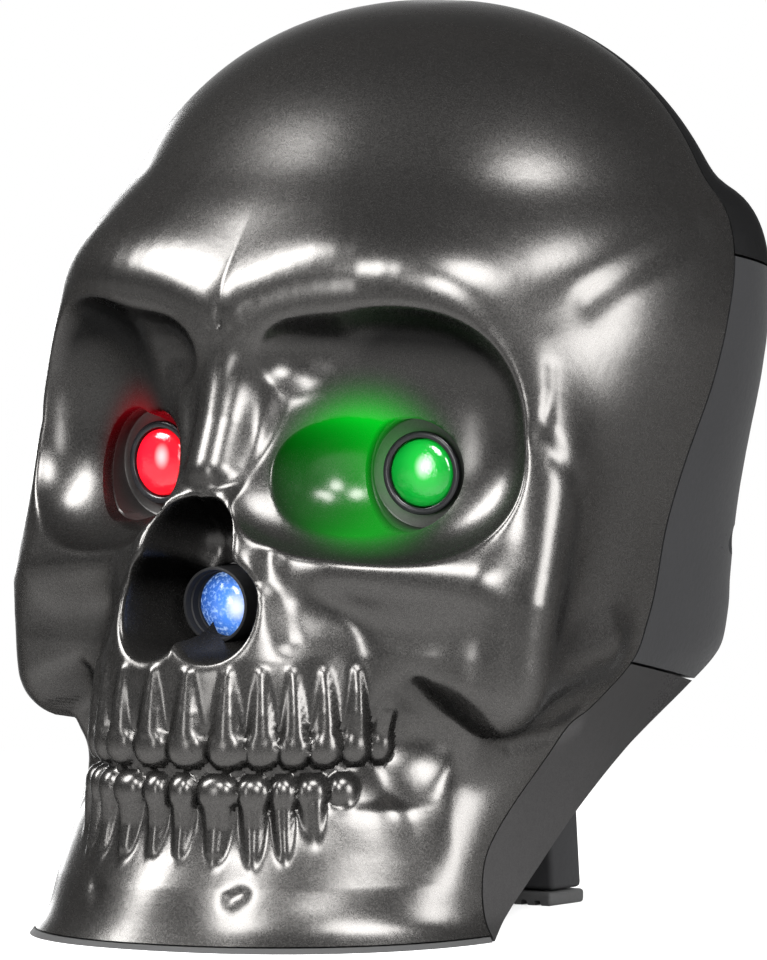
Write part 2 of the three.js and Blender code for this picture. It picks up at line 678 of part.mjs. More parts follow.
function rearColumn({ x, z, seam }) {
  const [y0, y1] = [seam + SEAM_GAP, DEPTH];
  return rodY(COUNTERBORE + WALL / 2, y0, y1, x, z, 9).add(sideWeb(x, z, y0, y1)).intersect(head);
}
function screwBores({ x, z, seat }) {
  return [
    rodY(CLEARANCE, seat - SCREW_LENGTH - FIT - WALL, seat + FIT, x, z, 8),
    rodY(COUNTERBORE, seat - FIT, FAR, x, z, 8),
  ];
}

// Base screws point up into bosses on the face shell's walls and on the neck shell's tongue
function basePlaces() {
  const front = BASE_SCREW_SHARES.map(([x, y]) => [x * HALF_WIDTH, y * DEPTH]);
  return front.flatMap(([x, y]) => (x === 0 ? [[x, y]] : [[-x, y], [x, y]]));
}
const BASE_PLACES = basePlaces();
const BASE_BOSS_TOP = BASE_TOP + FIT + SCREW_LENGTH;
function baseBoss([x, y]) {
  return rodZ(BOSS_DIAMETER / 2, BASE_TOP + FIT, BASE_BOSS_TOP, x, y, 9);
}
function baseBore([x, y]) {
  return rodZ(CLEARANCE, -OVERRUN, BASE_BOSS_TOP - WALL / 2, x, y, 8);
}
function wallWeb([x, y]) {
  const height = BASE_BOSS_TOP - BASE_TOP - FIT;
  const z = BASE_TOP + FIT + height / 2;
  const reach = HALF_WIDTH / 4;
  if (x === 0) return box(WALL, reach, height, x, y - reach / 2, z);
  return box(reach, WALL, height, x + (Math.sign(x) * reach) / 2, y, z);
}

// Lamp behind each eye, built about the origin and turned outwards
function atEye(solid, side) {
  return moved(solid, AXIS_Z, side * EYE_CANT, new THREE.Vector3(side * EYE_X, EYE_Y, EYE_Z));
}
const CUP_OUTER = WELL_BORE / 2 + CUP_WALL - FIT;
const CUP_INNER = WELL_BORE / 2 - FIT;
const CUP_FRONT = EYE_BEZEL_LENGTH + FIT;
const CUP_BACK = CUP_FRONT + CUP_FLOOR + EYE_BOARD_SETBACK;
function eyeCup(side) {
  const floorHole = EYE_LENS_DIAMETER / 2 + 2 * FIT;
  const tube = tubeY(CUP_OUTER, CUP_INNER, -HALF_WIDTH / 2, CUP_BACK, 0, 0, 24);
  const floor = tubeY(CUP_OUTER - FIT, floorHole, CUP_FRONT, CUP_FRONT + CUP_FLOOR, 0, 0, 24);
  return atEye(tube.add(floor), side).intersect(room);
}
function eyeLamp(side, name, glow) {
  const bezel = tubeY(EYE_BEZEL_OUTER / 2, EYE_LENS_DIAMETER / 2 + FIT, 0, EYE_BEZEL_LENGTH, 0, 0, 24);
  const r = EYE_LENS_DIAMETER / 2;
  const front = EYE_BEZEL_LENGTH / 2;
  const back = CUP_FRONT + CUP_FLOOR;
  const dome = [
    [0, back],
    [r, back],
    [r, front],
    [r * Math.SQRT1_2, front - EYE_LENS_DOME * Math.SQRT1_2],
    [r / 3, front - EYE_LENS_DOME * 0.94],
    [0, front - EYE_LENS_DOME],
  ];
  const board = CUP_BACK + FIT;
  const led = rodY(LED_BASE / 2, board - FIT - LED_HEIGHT, board - FIT, 0, 0, 16);
  piece(`eye_cup_${name}`, eyeCup(side), PAINT);
  piece(`eye_bezel_${name}`, atEye(bezel, side), BLACK);
  piece(`eye_lens_${name}`, atEye(turned(dome.reverse(), 0, 0), side), { color: glow, roughness: 0.2 });
  piece(`eye_led_${name}`, atEye(led, side), CLEAR);
  const disc = rodY(CUP_OUTER, board, board + BOARD_THICKNESS, 0, 0, 28);
  piece(`eye_board_${name}`, atEye(disc, side), BOARD_GREEN);
}

// Nose projector: barrel, lenses, ripple disc and its motor, lamp and heat sink
const PLATE_BACK = FLANGE_Y + HOUSING_PLATE;
const BARREL_FRONT = NOSE_Y - NOSE_LENS_SETBACK;
const DISC_Y = PLATE_BACK + DISC_CLEARANCE;
const POST_PIN = POST_DIAMETER / 4;
const BRACKET_Y = PLATE_BACK + BRACKET_GAP;
const PROJECTOR_SCREWS = HOUSING_SCREW_SHARES.flatMap(([x, z]) =>
  [-1, 1].map((side) => [side * x * HOUSING_WIDTH, NOSE_Z + z * HOUSING_HEIGHT]),
);
const PROJECTOR_POSTS = HOUSING_POST_SHARES.flatMap(([x, z]) =>
  [-1, 1].map((side) => [side * x * HOUSING_WIDTH, NOSE_Z + z * HOUSING_HEIGHT]),
);
function projectorHousing() {
  const middle = NOSE_Z + HOUSING_RISE_SHARE * HOUSING_HEIGHT;
  const plate = box(HOUSING_WIDTH, HOUSING_PLATE, HOUSING_HEIGHT, 0, FLANGE_Y + HOUSING_PLATE / 2, middle);
  const cups = [-1, 1].map((side) =>
    atEye(rodY(CUP_OUTER + 2 * FIT, -DEPTH / 4, DEPTH / 4, 0, 0, 24), side),
  );
  const holes = PROJECTOR_SCREWS.map(([x, z]) => rodY(CLEARANCE, FLANGE_Y - FIT, PLATE_BACK + FIT, x, z, 8));
  const posts = PROJECTOR_POSTS.flatMap(([x, z]) => [
    rodY(POST_DIAMETER / 2, PLATE_BACK - FIT, BRACKET_Y - FIT, x, z, 12),
    rodY(POST_PIN, PLATE_BACK, BRACKET_Y + HOUSING_PLATE + 2 * FIT, x, z, 8),
  ]);
  const barrel = rodY(BARREL_OUTER / 2, BARREL_FRONT, FLANGE_Y + FIT, 0, NOSE_Z, 24);
  const bore = rodY(BARREL_BORE / 2, BARREL_FRONT - FIT, PLATE_BACK + FIT, 0, NOSE_Z, 24);
  return joined([without(plate, [...cups, ...holes]), barrel, ...posts]).subtract(bore);
}
function bossForProjector([x, z]) {
  const boss = rodY(BOSS_DIAMETER / 2, -DEPTH / 2, FLANGE_Y - FIT, x, z, 9).intersect(head);
  return boss.intersect(seamSide(-OVERRUN, -1));
}
function lensProfile(radius, edge, dome, front) {
  return [
    [0, front - dome],
    [radius / 3, front - dome * 0.9],
    [radius * Math.SQRT1_2, front - dome / 2],
    [radius, front],
    [radius, front + edge],
  ];
}
function projector() {
  const r = NOSE_LENS_DIAMETER / 2;
  const lensFront = NOSE_Y + NOSE_LENS_DOME;
  const condenserFront = NOSE_Y + CONDENSER_SETBACK;
  const condenserBack = condenserFront + CONDENSER_EDGE + CONDENSER_DOME;
  piece("projector_housing", projectorHousing(), BLACK);
  const noseFace = lensProfile(r, NOSE_LENS_EDGE, NOSE_LENS_DOME, lensFront);
  const noseLens = [...noseFace, [0, lensFront + NOSE_LENS_EDGE]];
  piece("nose_lens", turned(noseLens, 0, NOSE_Z), { color: 0x2a5cff, roughness: 0.1 });
  const condenser = [
    ...lensProfile(r, CONDENSER_EDGE, CONDENSER_DOME, condenserFront),
    [r * Math.SQRT1_2, condenserBack - CONDENSER_DOME / 2],
    [0, condenserBack],
  ];
  piece("condenser_lens", turned(condenser, 0, NOSE_Z), CLEAR);
  rippleDrive();
  projectorLamp();
}
// The disc's rippled rim runs past the barrel
function rippleDrive() {
  const discBack = DISC_Y + DISC_THICKNESS;
  const flange = discBack + FIT;
  const disc = tubeY(DISC_DIAMETER / 2, DISC_BORE / 2, DISC_Y, discBack, 0, DISC_Z, 32);
  const shaftFront = DISC_Y + DISC_THICKNESS / 2;
  const hub = joined([
    rodY(HUB_DIAMETER / 2, flange, flange + DISC_THICKNESS, 0, DISC_Z, 16),
    rodY(DISC_BORE / 2 - FIT, DISC_Y - FIT, flange + FIT, 0, DISC_Z, 16),
  ]).subtract(rodY(SHAFT_DIAMETER / 2 + FIT / 4, shaftFront, FAR, 0, DISC_Z, 16));
  const motorFront = BRACKET_Y + HOUSING_PLATE + FIT;
  const motor = rodY(MOTOR_DIAMETER / 2, motorFront, motorFront + MOTOR_LENGTH, 0, DISC_Z, 16).add(
    rodY(SHAFT_DIAMETER / 2, shaftFront + FIT, motorFront + FIT, 0, DISC_Z, 16),
  );
  piece("ripple_disc", disc, CLEAR);
  piece("disc_hub", hub, { color: 0xd8d4c8, roughness: 0.5 });
  piece("disc_motor", motor, STEEL);
}
function projectorLamp() {
  const middle = NOSE_Z + HOUSING_RISE_SHARE * HOUSING_HEIGHT;
  const half = LAMP_BOARD_WIDTH / 2;
  const plateBack = BRACKET_Y + HOUSING_PLATE;
  const boardZ = NOSE_Z + LAMP_BOARD_HEIGHT / 2 - LED_BASE;
  const boardY = plateBack + LED_HEIGHT + 2 * FIT;
  const sinkY = boardY + BOARD_THICKNESS + FIT;
  const armFront = plateBack - FIT;
  const armBack = sinkY + HOUSING_PLATE;
  const armX = half + FIT + HOUSING_PLATE / 2;
  const arm = (side) => {
    const middleY = (armFront + armBack) / 2;
    return box(HOUSING_PLATE, armBack - armFront, LAMP_BOARD_HEIGHT / 2, side * armX, middleY, boardZ);
  };
  const plate = box(HOUSING_WIDTH, HOUSING_PLATE, HOUSING_HEIGHT, 0, BRACKET_Y + HOUSING_PLATE / 2, middle);
  const bracket = without(joined([plate, arm(-1), arm(1)]), [
    rodY(LED_BASE, BRACKET_Y - FIT, plateBack + FIT, 0, NOSE_Z, 24),
    rodY(SHAFT_DIAMETER / 2 + 2 * FIT, BRACKET_Y - FIT, plateBack + FIT, 0, DISC_Z, 16),
    ...PROJECTOR_POSTS.map(([x, z]) => rodY(POST_PIN + FIT, BRACKET_Y - FIT, plateBack + FIT, x, z, 8)),
  ]);
  piece("motor_bracket", bracket, BLACK);
  piece("lamp_led", box(LED_BASE, LED_HEIGHT, LED_BASE, 0, plateBack + FIT + LED_HEIGHT / 2, NOSE_Z), CLEAR);
  const lampBoardY = boardY + BOARD_THICKNESS / 2;
  const lampBoard = box(LAMP_BOARD_WIDTH, BOARD_THICKNESS, LAMP_BOARD_HEIGHT, 0, lampBoardY, boardZ);
  piece("lamp_board", lampBoard, BOARD_GREEN);
  const fin = LAMP_BOARD_WIDTH / (2 * SINK_FINS - 1);
  const fins = Array.from({ length: SINK_FINS }, (_, i) =>
    box(fin, SINK_DEPTH, LAMP_BOARD_HEIGHT, (2 * i + 0.5) * fin - half, sinkY + SINK_DEPTH / 2, boardZ),
  );
  const base = box(LAMP_BOARD_WIDTH, HOUSING_PLATE, LAMP_BOARD_HEIGHT, 0, sinkY + HOUSING_PLATE / 2, boardZ);
  piece("heat_sink", joined([base, ...fins]), { color: 0xa8a8a8, metalness: 1, roughness: 0.45 });
}

// Control board on four standoffs of the rear cover
const BOARD_Z = BOARD_HEIGHT_SHARE * HEIGHT;
const BOARD_Y = REAR_WALL - BOARD_STANDOFF - BOARD_THICKNESS;
const BOARD_BACK = BOARD_Y + BOARD_THICKNESS;
const BUTTON_Z = BOARD_Z + BUTTON_RISE_SHARE * MAIN_BOARD_HEIGHT;
const BUTTON_FLANGE_Y = REAR_WALL - BUTTON_FLANGE - 4 * FIT;
const INLET_Z = BOARD_Z - INLET_DROP_SHARE * MAIN_BOARD_HEIGHT;
const BUTTON_FACE = REAR_SHARE * DEPTH;
const BUTTON_PLACES = [-BUTTON_PITCH, 0, BUTTON_PITCH];
const BUTTON_NAMES = ["power", "colour", "speed"];
const BOARD_CORNERS = [-1, 1].flatMap((sx) =>
  [-1, 1].map((sz) => [
    sx * (MAIN_BOARD_WIDTH / 2 - SCREW_HEAD),
    BOARD_Z + sz * (MAIN_BOARD_HEIGHT / 2 - SCREW_HEAD / 2 - FIT),
  ]),
);
function standoff([x, z]) {
  return rodY(SCREW_HEAD / 2 + FIT, BOARD_BACK + FIT, REAR_WALL + OVERRUN, x, z, 8).intersect(head);
}
function controlBoard() {
  const middle = BOARD_Y + BOARD_THICKNESS / 2;
  const board = box(MAIN_BOARD_WIDTH, BOARD_THICKNESS, MAIN_BOARD_HEIGHT, 0, middle, BOARD_Z);
  const holes = BOARD_CORNERS.map(([x, z]) => rodY(CLEARANCE, BOARD_Y - FIT, BOARD_BACK + FIT, x, z, 8));
  piece("main_board", without(board, holes), BOARD_GREEN);
  BOARD_CORNERS.forEach(([x, z], i) => {
    piece(`board_screw_${i + 1}`, screwY(BOARD_Y - FIT, x, z, 1, BOARD_SCREW_LENGTH), STEEL);
  });
  const chipY = BOARD_Y - FIT - CHIP_HEIGHT / 2;
  piece("control_chip", box(CHIP_SIZE, CHIP_HEIGHT, CHIP_SIZE, 0, chipY, BOARD_Z), BLACK);
  const can = rodY(LED_BASE / 2, BOARD_Y - FIT - MOTOR_DIAMETER / 2, BOARD_Y - FIT, CHIP_SIZE, INLET_Z, 16);
  piece("smoothing_capacitor", can, { color: 0x30406a, roughness: 0.4 });
  BUTTON_PLACES.forEach((x, i) => {
    const y = BOARD_BACK + FIT + SWITCH_HEIGHT / 2;
    piece(`${BUTTON_NAMES[i]}_switch`, box(SWITCH_SIZE, SWITCH_HEIGHT, SWITCH_SIZE, x, y, BUTTON_Z), BLACK);
    piece(`${BUTTON_NAMES[i]}_button`, button(x), RUBBER);
  });
  piece("power_inlet", powerInlet(), STEEL);
}
function button(x) {
  const switchTop = BOARD_BACK + FIT + SWITCH_HEIGHT;
  const stemEnd = switchTop + BUTTON_TRAVEL + FIT;
  const flangeBack = BUTTON_FLANGE_Y + BUTTON_FLANGE;
  return joined([
    rodY(BUTTON_DIAMETER / 2, BUTTON_FLANGE_Y, BUTTON_FACE, x, BUTTON_Z, 16),
    rodY(BUTTON_DIAMETER / 2 + BUTTON_FLANGE, BUTTON_FLANGE_Y, flangeBack, x, BUTTON_Z, 16),
    rodY(BUTTON_DIAMETER / 6, stemEnd, BUTTON_FLANGE_Y + FIT, x, BUTTON_Z, 8),
  ]);
}
function powerInlet() {
  const front = BOARD_BACK + FIT;
  const back = BUTTON_FACE - INLET_INSET;
  const slotY = back - INLET_SLOT / 2;
  const [slotWidth, slotHeight] = [INLET_WIDTH, INLET_HEIGHT].map((size) => size - 2 * CUP_WALL);
  const body = box(INLET_WIDTH, back - front, INLET_HEIGHT, 0, (front + back) / 2, INLET_Z);
  const slot = box(slotWidth, INLET_SLOT, slotHeight, 0, slotY + FIT, INLET_Z);
  const tongue = box(INLET_WIDTH / 2, INLET_SLOT, CUP_WALL, 0, slotY - FIT, INLET_Z);
  return body.subtract(slot).add(tongue);
}
function coverCuts() {
  const vents = Array.from({ length: VENT_SLOTS }, (_, i) => {
    const z = BOARD_Z + (i - VENT_SLOTS / 2) * VENT_PITCH;
    return box(VENT_WIDTH, DEPTH / 4, VENT_HEIGHT, 0, BUTTON_FACE, z);
  });
  return [
    ...BUTTON_PLACES.map((x) => rodY(BUTTON_DIAMETER / 2 + FIT, BOARD_BACK + FIT, FAR, x, BUTTON_Z, 16)),
    box(INLET_WIDTH + 2 * FIT, DEPTH / 4, INLET_HEIGHT + 2 * FIT, 0, BUTTON_FACE, INLET_Z),
    ...vents,
    ...BOARD_CORNERS.map(([x, z]) => rodY(CLEARANCE, BOARD_Y, BOARD_BACK + BOARD_SCREW_LENGTH, x, z, 8)),
  ];
}

// Leg on a pin between two ears of the rear cover
function ear(side) {
  const r = PIN_DIAMETER / 2 + WALL + FIT;
  const arc = [0, 0.2, 0.4, 0.6, 0.8, 1].map((t) => {
    const angle = Math.PI * t;
    return [PIN_Y - r * Math.cos(angle), PIN_Z - r * Math.sin(angle)];
  });
  const top = PIN_Z + LEG_THICKNESS * 1.2;
  const x = side * (LEG_WIDTH / 2 + FIT + EAR_THICKNESS / 2);
  const tab = slab([...arc, [PIN_Y + 1.5 * r, top], [PIN_Y - 1.5 * r, top]], EAR_THICKNESS / 2, x);
  return tab.intersect(head);
}
function pinBore(radius) {
  return rodX(radius, -LEG_WIDTH, LEG_WIDTH, PIN_Y, PIN_Z);
}
function leg() {
  const r = LEG_THICKNESS / 2;
  const arc = Array.from({ length: 9 }, (_, i) => {
    const angle = (Math.PI * i) / 8;
    return [-r * Math.cos(angle), r * Math.sin(angle)];
  });
  const outline = [[-r, -PIN_Z], ...arc, [r * 1.1, -PIN_Z]];
  const long = moved(slab(outline, LEG_WIDTH / 2), AXIS_X, LEG_LEAN, new THREE.Vector3(0, PIN_Y, PIN_Z));
  const ground = box(FAR, FAR, FAR, 0, 0, FOOT_PAD_HEIGHT + FIT + FAR / 2);
  return long.intersect(ground).subtract(pinBore(PIN_DIAMETER / 2 + PIN_PLAY));
}
function footPad() {
  const middle = PIN_Y + PIN_Z * Math.tan(LEG_LEAN);
  const half = LEG_THICKNESS * 0.6;
  const bevel = FOOT_PAD_HEIGHT / 2;
  const outline = [
    [middle - half, 0], [middle + half - bevel, 0], [middle + half, bevel],
    [middle + half, FOOT_PAD_HEIGHT], [middle - half, FOOT_PAD_HEIGHT],
  ];
  const pitches = Math.floor(LEG_WIDTH / RIB_PITCH);
  const grooves = Array.from({ length: pitches - 1 }, (_, i) =>
    box(RIB_PITCH / 2, LEG_THICKNESS * 2, 2 * RIB_HEIGHT, (i + 1 - pitches / 2) * RIB_PITCH, middle, 0),
  );
  return without(slab(outline, LEG_WIDTH / 2), grooves);
}

// Shells
function faceShell() {
  const bosses = [
    ...[...COVER_SCREWS, ...CROWN_SCREWS].map(frontBoss),
    ...PROJECTOR_SCREWS.map(bossForProjector),
    ...BASE_PLACES.slice(0, FACE_BASE_SCREWS).map((at) => baseBoss(at).add(wallWeb(at)).intersect(head)),
  ];
  const bore = rodY(WELL_BORE / 2, -DEPTH / 2, EYE_BEZEL_LENGTH, 0, 0, 24);
  const cup = rodY(CUP_OUTER + FIT, -DEPTH / 2, DEPTH / 4, 0, 0, 24);
  const eyes = [-1, 1].map((side) => atEye(bore, side));
  const cupRoom = [-1, 1].map((side) => atEye(cup, side).intersect(hollow));
  const arches = joined(teeth()).intersect(seamSide(0, -1));
  const body = joined([skin, arches, ...bosses]).intersect(seamSide(-SEAM_GAP / 2, -1));
  return without(body, [
    ...eyes,
    ...cupRoom,
    rodY(BARREL_OUTER / 2 + FIT, BARREL_FRONT - FIT, FLANGE_Y, 0, NOSE_Z, 24),
    ...[...COVER_SCREWS, ...CROWN_SCREWS].flatMap(screwBores),
    ...PROJECTOR_SCREWS.map(([x, z]) => rodY(CLEARANCE, FLANGE_Y - SCREW_LENGTH - WALL, FLANGE_Y, x, z, 8)),
    ...BASE_PLACES.map(baseBore),
  ]);
}
function shells() {
  const rear = skin.intersect(seamSide(SEAM_GAP / 2, 1));
  const coverTop = splitSide(COVER_TOP_SHARE, -SEAM_GAP / 2, -1);
  const coverFoot = splitSide(COVER_FOOT_SHARE, SEAM_GAP / 2, 1);
  const cover = rear.intersect(coverTop).intersect(coverFoot);
  const columns = joined(COVER_SCREWS.map(rearColumn)).intersect(aboveUnderside(0, SHELL_BASE));
  const coverBody = joined([cover, columns, ear(-1), ear(1), ...BOARD_CORNERS.map(standoff)]);
  const coverHoles = [...COVER_SCREWS.flatMap(screwBores), ...coverCuts(), pinBore(PIN_DIAMETER / 2 + FIT)];
  const crown = rear.intersect(splitSide(COVER_TOP_SHARE, SEAM_GAP / 2, 1));
  const crownBody = crown.add(joined(CROWN_SCREWS.map(rearColumn)));
  piece("face_shell", faceShell(), PAINT);
  piece("crown_shell", without(crownBody, CROWN_SCREWS.flatMap(screwBores)), DARK_PAINT);
  piece("rear_cover", without(coverBody, coverHoles), BLACK);
  piece("neck_shell", neckShell(rear), DARK_PAINT);
}
function neckShell(rear) {
  const band = rear.intersect(splitSide(COVER_FOOT_SHARE, -SEAM_GAP / 2, -1));
  const [tongueFront, tongueBack] = TONGUE_SHARES.map((share) => share * DEPTH);
  const z = BASE_TOP + FIT + WALL / 2;
  const tongue = box(TONGUE_WIDTH, tongueBack - tongueFront, WALL, 0, (tongueFront + tongueBack) / 2, z);
  const places = BASE_PLACES.slice(FACE_BASE_SCREWS);
  const body = joined([band, tongue, ...places.map(baseBoss)]).intersect(aboveUnderside(0, SHELL_BASE));
  return without(body, places.map(baseBore));
}
function base() {
  const front = seamSide(-SEAM_GAP, -1);
  const slice = (z0, z1) => box(2 * FAR, 2 * FAR, z1 - z0, 0, 0, (z0 + z1) / 2);
  const mat = head.intersect(front).intersect(slice(0, MAT_THICKNESS));
  const plate = room.intersect(front).intersect(slice(SHELL_BASE, BASE_TOP));
  const pockets = BASE_PLACES.map(([x, y]) => rodZ(COUNTERBORE, -OVERRUN, BASE_SEAT + FIT / 2, x, y, 8));
  piece("base_mat", mat, RUBBER);
  piece("base_plate", without(plate, [...BASE_PLACES.map(baseBore), ...pockets]), BLACK);
  BASE_PLACES.forEach(([x, y], i) => {
    const flat = rodZ(SCREW_HEAD / 2, SHELL_BASE, BASE_SEAT, x, y, 8);
    piece(`base_screw_${i + 1}`, flat.add(rodZ(SCREW_SHANK / 2, SHELL_BASE, SCREW_LENGTH, x, y, 8)), STEEL);
  });
}

shells();
base();
eyeLamp(1, "left", 0x20e070);
eyeLamp(-1, "right", 0xff2a20);
projector();
PROJECTOR_SCREWS.forEach(([x, z], i) => {
  piece(`projector_screw_${i + 1}`, screwY(PLATE_BACK + FIT, x, z, -1), STEEL);
});
controlBoard();
COVER_SCREWS.forEach(({ x, z, seat }, i) => {
  piece(`cover_screw_${i + 1}`, screwY(seat + FIT, x, z, -1), STEEL);
});
CROWN_SCREWS.forEach(({ x, z, seat }, i) => {
  piece(`crown_screw_${i + 1}`, screwY(seat + FIT, x, z, -1), STEEL);
});
piece("stand_leg", leg(), BLACK);
piece("stand_foot_pad", footPad(), RUBBER);
const pinEnd = LEG_WIDTH / 2 + EAR_THICKNESS;
piece("leg_pin", rodX(PIN_DIAMETER / 2, -pinEnd, pinEnd, PIN_Y, PIN_Z), STEEL);

export default root;
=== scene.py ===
"""Looks of the skull projector light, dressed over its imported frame.

The head's form is a signed field, read finely enough for rounded rims, teeth and bone detail.
Lengths of the head and its pieces are millimetres about the seam's own zero. Those of the finishes
and the studio are metres, and so is every finished mesh, in the frame's axes.
"""
import json
import logging
import math
from dataclasses import dataclass, field, replace
from enum import Enum
from typing import Callable, Iterable, Sequence

import bmesh
import bpy
import numpy as np
from mathutils import Matrix, Vector


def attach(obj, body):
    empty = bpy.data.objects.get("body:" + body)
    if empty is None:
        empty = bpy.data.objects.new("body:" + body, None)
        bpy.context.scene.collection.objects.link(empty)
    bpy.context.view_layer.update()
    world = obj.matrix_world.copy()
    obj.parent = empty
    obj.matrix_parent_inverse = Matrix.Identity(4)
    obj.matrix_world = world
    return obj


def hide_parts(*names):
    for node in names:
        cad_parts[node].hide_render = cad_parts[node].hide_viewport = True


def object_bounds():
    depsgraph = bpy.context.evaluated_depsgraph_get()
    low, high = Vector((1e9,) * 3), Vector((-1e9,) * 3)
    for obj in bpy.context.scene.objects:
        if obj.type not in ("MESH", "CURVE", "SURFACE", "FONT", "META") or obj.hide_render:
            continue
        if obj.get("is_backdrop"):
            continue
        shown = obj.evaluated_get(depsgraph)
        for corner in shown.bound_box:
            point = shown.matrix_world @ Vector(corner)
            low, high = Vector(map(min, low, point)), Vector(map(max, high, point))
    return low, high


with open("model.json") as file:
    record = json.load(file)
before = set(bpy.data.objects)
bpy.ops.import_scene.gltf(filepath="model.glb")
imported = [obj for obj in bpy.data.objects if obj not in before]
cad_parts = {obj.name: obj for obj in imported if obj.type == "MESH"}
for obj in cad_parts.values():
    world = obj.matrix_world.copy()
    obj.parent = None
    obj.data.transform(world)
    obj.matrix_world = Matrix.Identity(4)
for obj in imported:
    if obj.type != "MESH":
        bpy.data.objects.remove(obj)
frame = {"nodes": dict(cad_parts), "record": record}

LOG = logging.getLogger("skull_projector_light")
Point = tuple[float, float, float]
Pair = tuple[float, float]
Knots = tuple[tuple[float, float, float, float], ...]
Array = np.ndarray
Field = Callable[[Array], Array]
Form = bmesh.types.BMesh
Piece = bpy.types.Object
HEIGHT = 170.0
HALF_WIDTH = 62.0
DEPTH = 144.0
SHIFT_SHARE = -0.09
FRAME_SHIFT = SHIFT_SHARE * DEPTH
MM = 0.001
TINY = 1e-9


class Body(Enum):
    """Bodies of the frame that a piece can ride on."""

    HOUSING = "housing"
    STAND = "stand"


class Cut(Enum):
    """Ways that one closed solid acts on another."""

    AND = "INTERSECT"
    MINUS = "DIFFERENCE"
    PLUS = "UNION"


Cuts = Sequence[tuple[Cut, Form]]


# The head's form


@dataclass(frozen=True)
class Curve:
    """A smooth curve through the rows of a table, held level past its ends."""

    rows: tuple[tuple[float, ...], ...]

    def at(self, share: Array) -> Array:
        """Reads every column of the table.

        Args:
            share: Heights to read at, as shares.

        Returns:
            One row of values per column of the table.
        """
        table = np.array(self.rows)
        knots, values = table[:, 0], table[:, 1:]
        count = len(knots)
        before = np.maximum(np.arange(count) - 1, 0)
        after = np.minimum(np.arange(count) + 1, count - 1)
        slopes = (values[after] - values[before]) / (knots[after] - knots[before])[:, None]
        at = np.clip(share, knots[0], knots[-1])
        i = np.clip(np.searchsorted(knots, at, side="right") - 1, 0, count - 2)
        span = (knots[i + 1] - knots[i])[:, None]
        t = (at[:, None] - knots[i][:, None]) / span
        ease = 3 * t**2 - 2 * t**3
        tangents = (t**3 - 2 * t**2 + t) * slopes[i] + (t**3 - t**2) * slopes[i + 1]
        return (values[i] + (values[i + 1] - values[i]) * ease + tangents * span).T

    def line(self, share: float) -> float:
        """Reads the first column at one height."""
        return float(self.at(np.array([share]))[0, 0])


@dataclass(frozen=True)
class Ridge:
    """A chain of tapered rods with round ends, blended onto the head. A knot is a point and a radius."""

    knots: Knots
    blend: float

    def field(self, p: Array) -> Array:
        """Signed field of the whole chain.

        Args:
            p: Points in millimetres.

        Returns:
            Values, negative inside.
        """
        rods = []
        for a, b in zip(self.knots, self.knots[1:]):
            near, t = along(p, a[:3], b[:3])
            rods.append(near - a[3] - (b[3] - a[3]) * t)
        return np.min(rods, axis=0)


def rounded(knots: Knots, count: int = 3) -> Knots:
    """Rounds a chain of knots with a smooth curve through them.

    Args:
        knots: The knots, a point and a radius each.
        count: Stretches that each one is split into.

    Returns:
        The finer chain.
    """
    table = np.array(knots)
    slopes = np.gradient(table, axis=0)
    fine = []
    for a, b, m, n in zip(table, table[1:], slopes, slopes[1:]):
        for t in np.arange(count) / count:
            leaving = a * (1 + 2 * t) * (1 - t) ** 2 + m * t * (1 - t) ** 2
            fine.append(leaving + b * t * t * (3 - 2 * t) + n * t * t * (t - 1))
    return tuple(tuple(map(float, knot)) for knot in (*fine, table[-1]))


@dataclass(frozen=True)
class Hollow:
    """An ellipsoid taken out of the head, or a tooth added to it."""

    at: Point
    radii: Point
    turn: float
    fullness: float
    blend: float


@dataclass(frozen=True)
class Crease:
    """A fine groove or fold along a line of points on the surface, raised where depth is negative."""

    points: tuple[Point, ...]
    width: float
    depth: float


def soft_min(a: Array, b: Array, k: float) -> Array:
    """Union of two signed fields, rounded over the length k."""
    h = np.maximum(k - np.abs(a - b), 0) / k
    return np.minimum(a, b) - h**3 * k / 6


def soft_max(a: Array, b: Array, k: float) -> Array:
    """Intersection of two signed fields, rounded over the length k."""
    return -soft_min(-a, -b, k)


def scaled(r: Array, q: Array) -> Array:
    """Signed field of a form, from the distance r to its middle and the share q of its size."""
    return r - r / np.maximum(q, TINY)


def section(x: Array, y: Array, width: Array, reach: Array, full: Array) -> Array:
    """Signed field of a level superellipse section."""
    q = ((np.abs(x) / width) ** full + (np.abs(y) / reach) ** full) ** (1 / full)
    return scaled(np.hypot(x, y), q)


def ellipsoid(p: Array, form: Hollow) -> Array:
    """Signed field of a superellipsoid turned about Z.

    Args:
        p: Points in millimetres.
        form: The superellipsoid.

    Returns:
        Values, negative inside.
    """
    c, s = math.cos(form.turn), math.sin(form.turn)
    d = p - np.array(form.at)
    u = np.abs(c * d[:, 0] + s * d[:, 1]) / form.radii[0]
    v = np.abs(c * d[:, 1] - s * d[:, 0]) / form.radii[1]
    w = np.abs(d[:, 2]) / form.radii[2]
    q = (u**form.fullness + v**form.fullness + w**form.fullness) ** (1 / form.fullness)
    return scaled(np.linalg.norm(d, axis=1), q)


def mirrored(p: Array) -> Array:
    """Points folded onto the head's left half."""
    return np.column_stack((np.abs(p[:, 0]), p[:, 1], p[:, 2]))


def along(p: Array, start: Point, end: Point) -> tuple[Array, Array]:
    """Finds how far points are from a stretch of line.

    Args:
        p: The points.
        start: The stretch's start.
        end: The stretch's end.

    Returns:
        The distances, and the shares of the stretch that they were measured at.
    """
    a, d = np.array(start), np.array(end) - np.array(start)
    t = np.clip((p - a) @ d / (d @ d), 0, 1)
    return np.linalg.norm(p - a - t[:, None] * d, axis=1), t


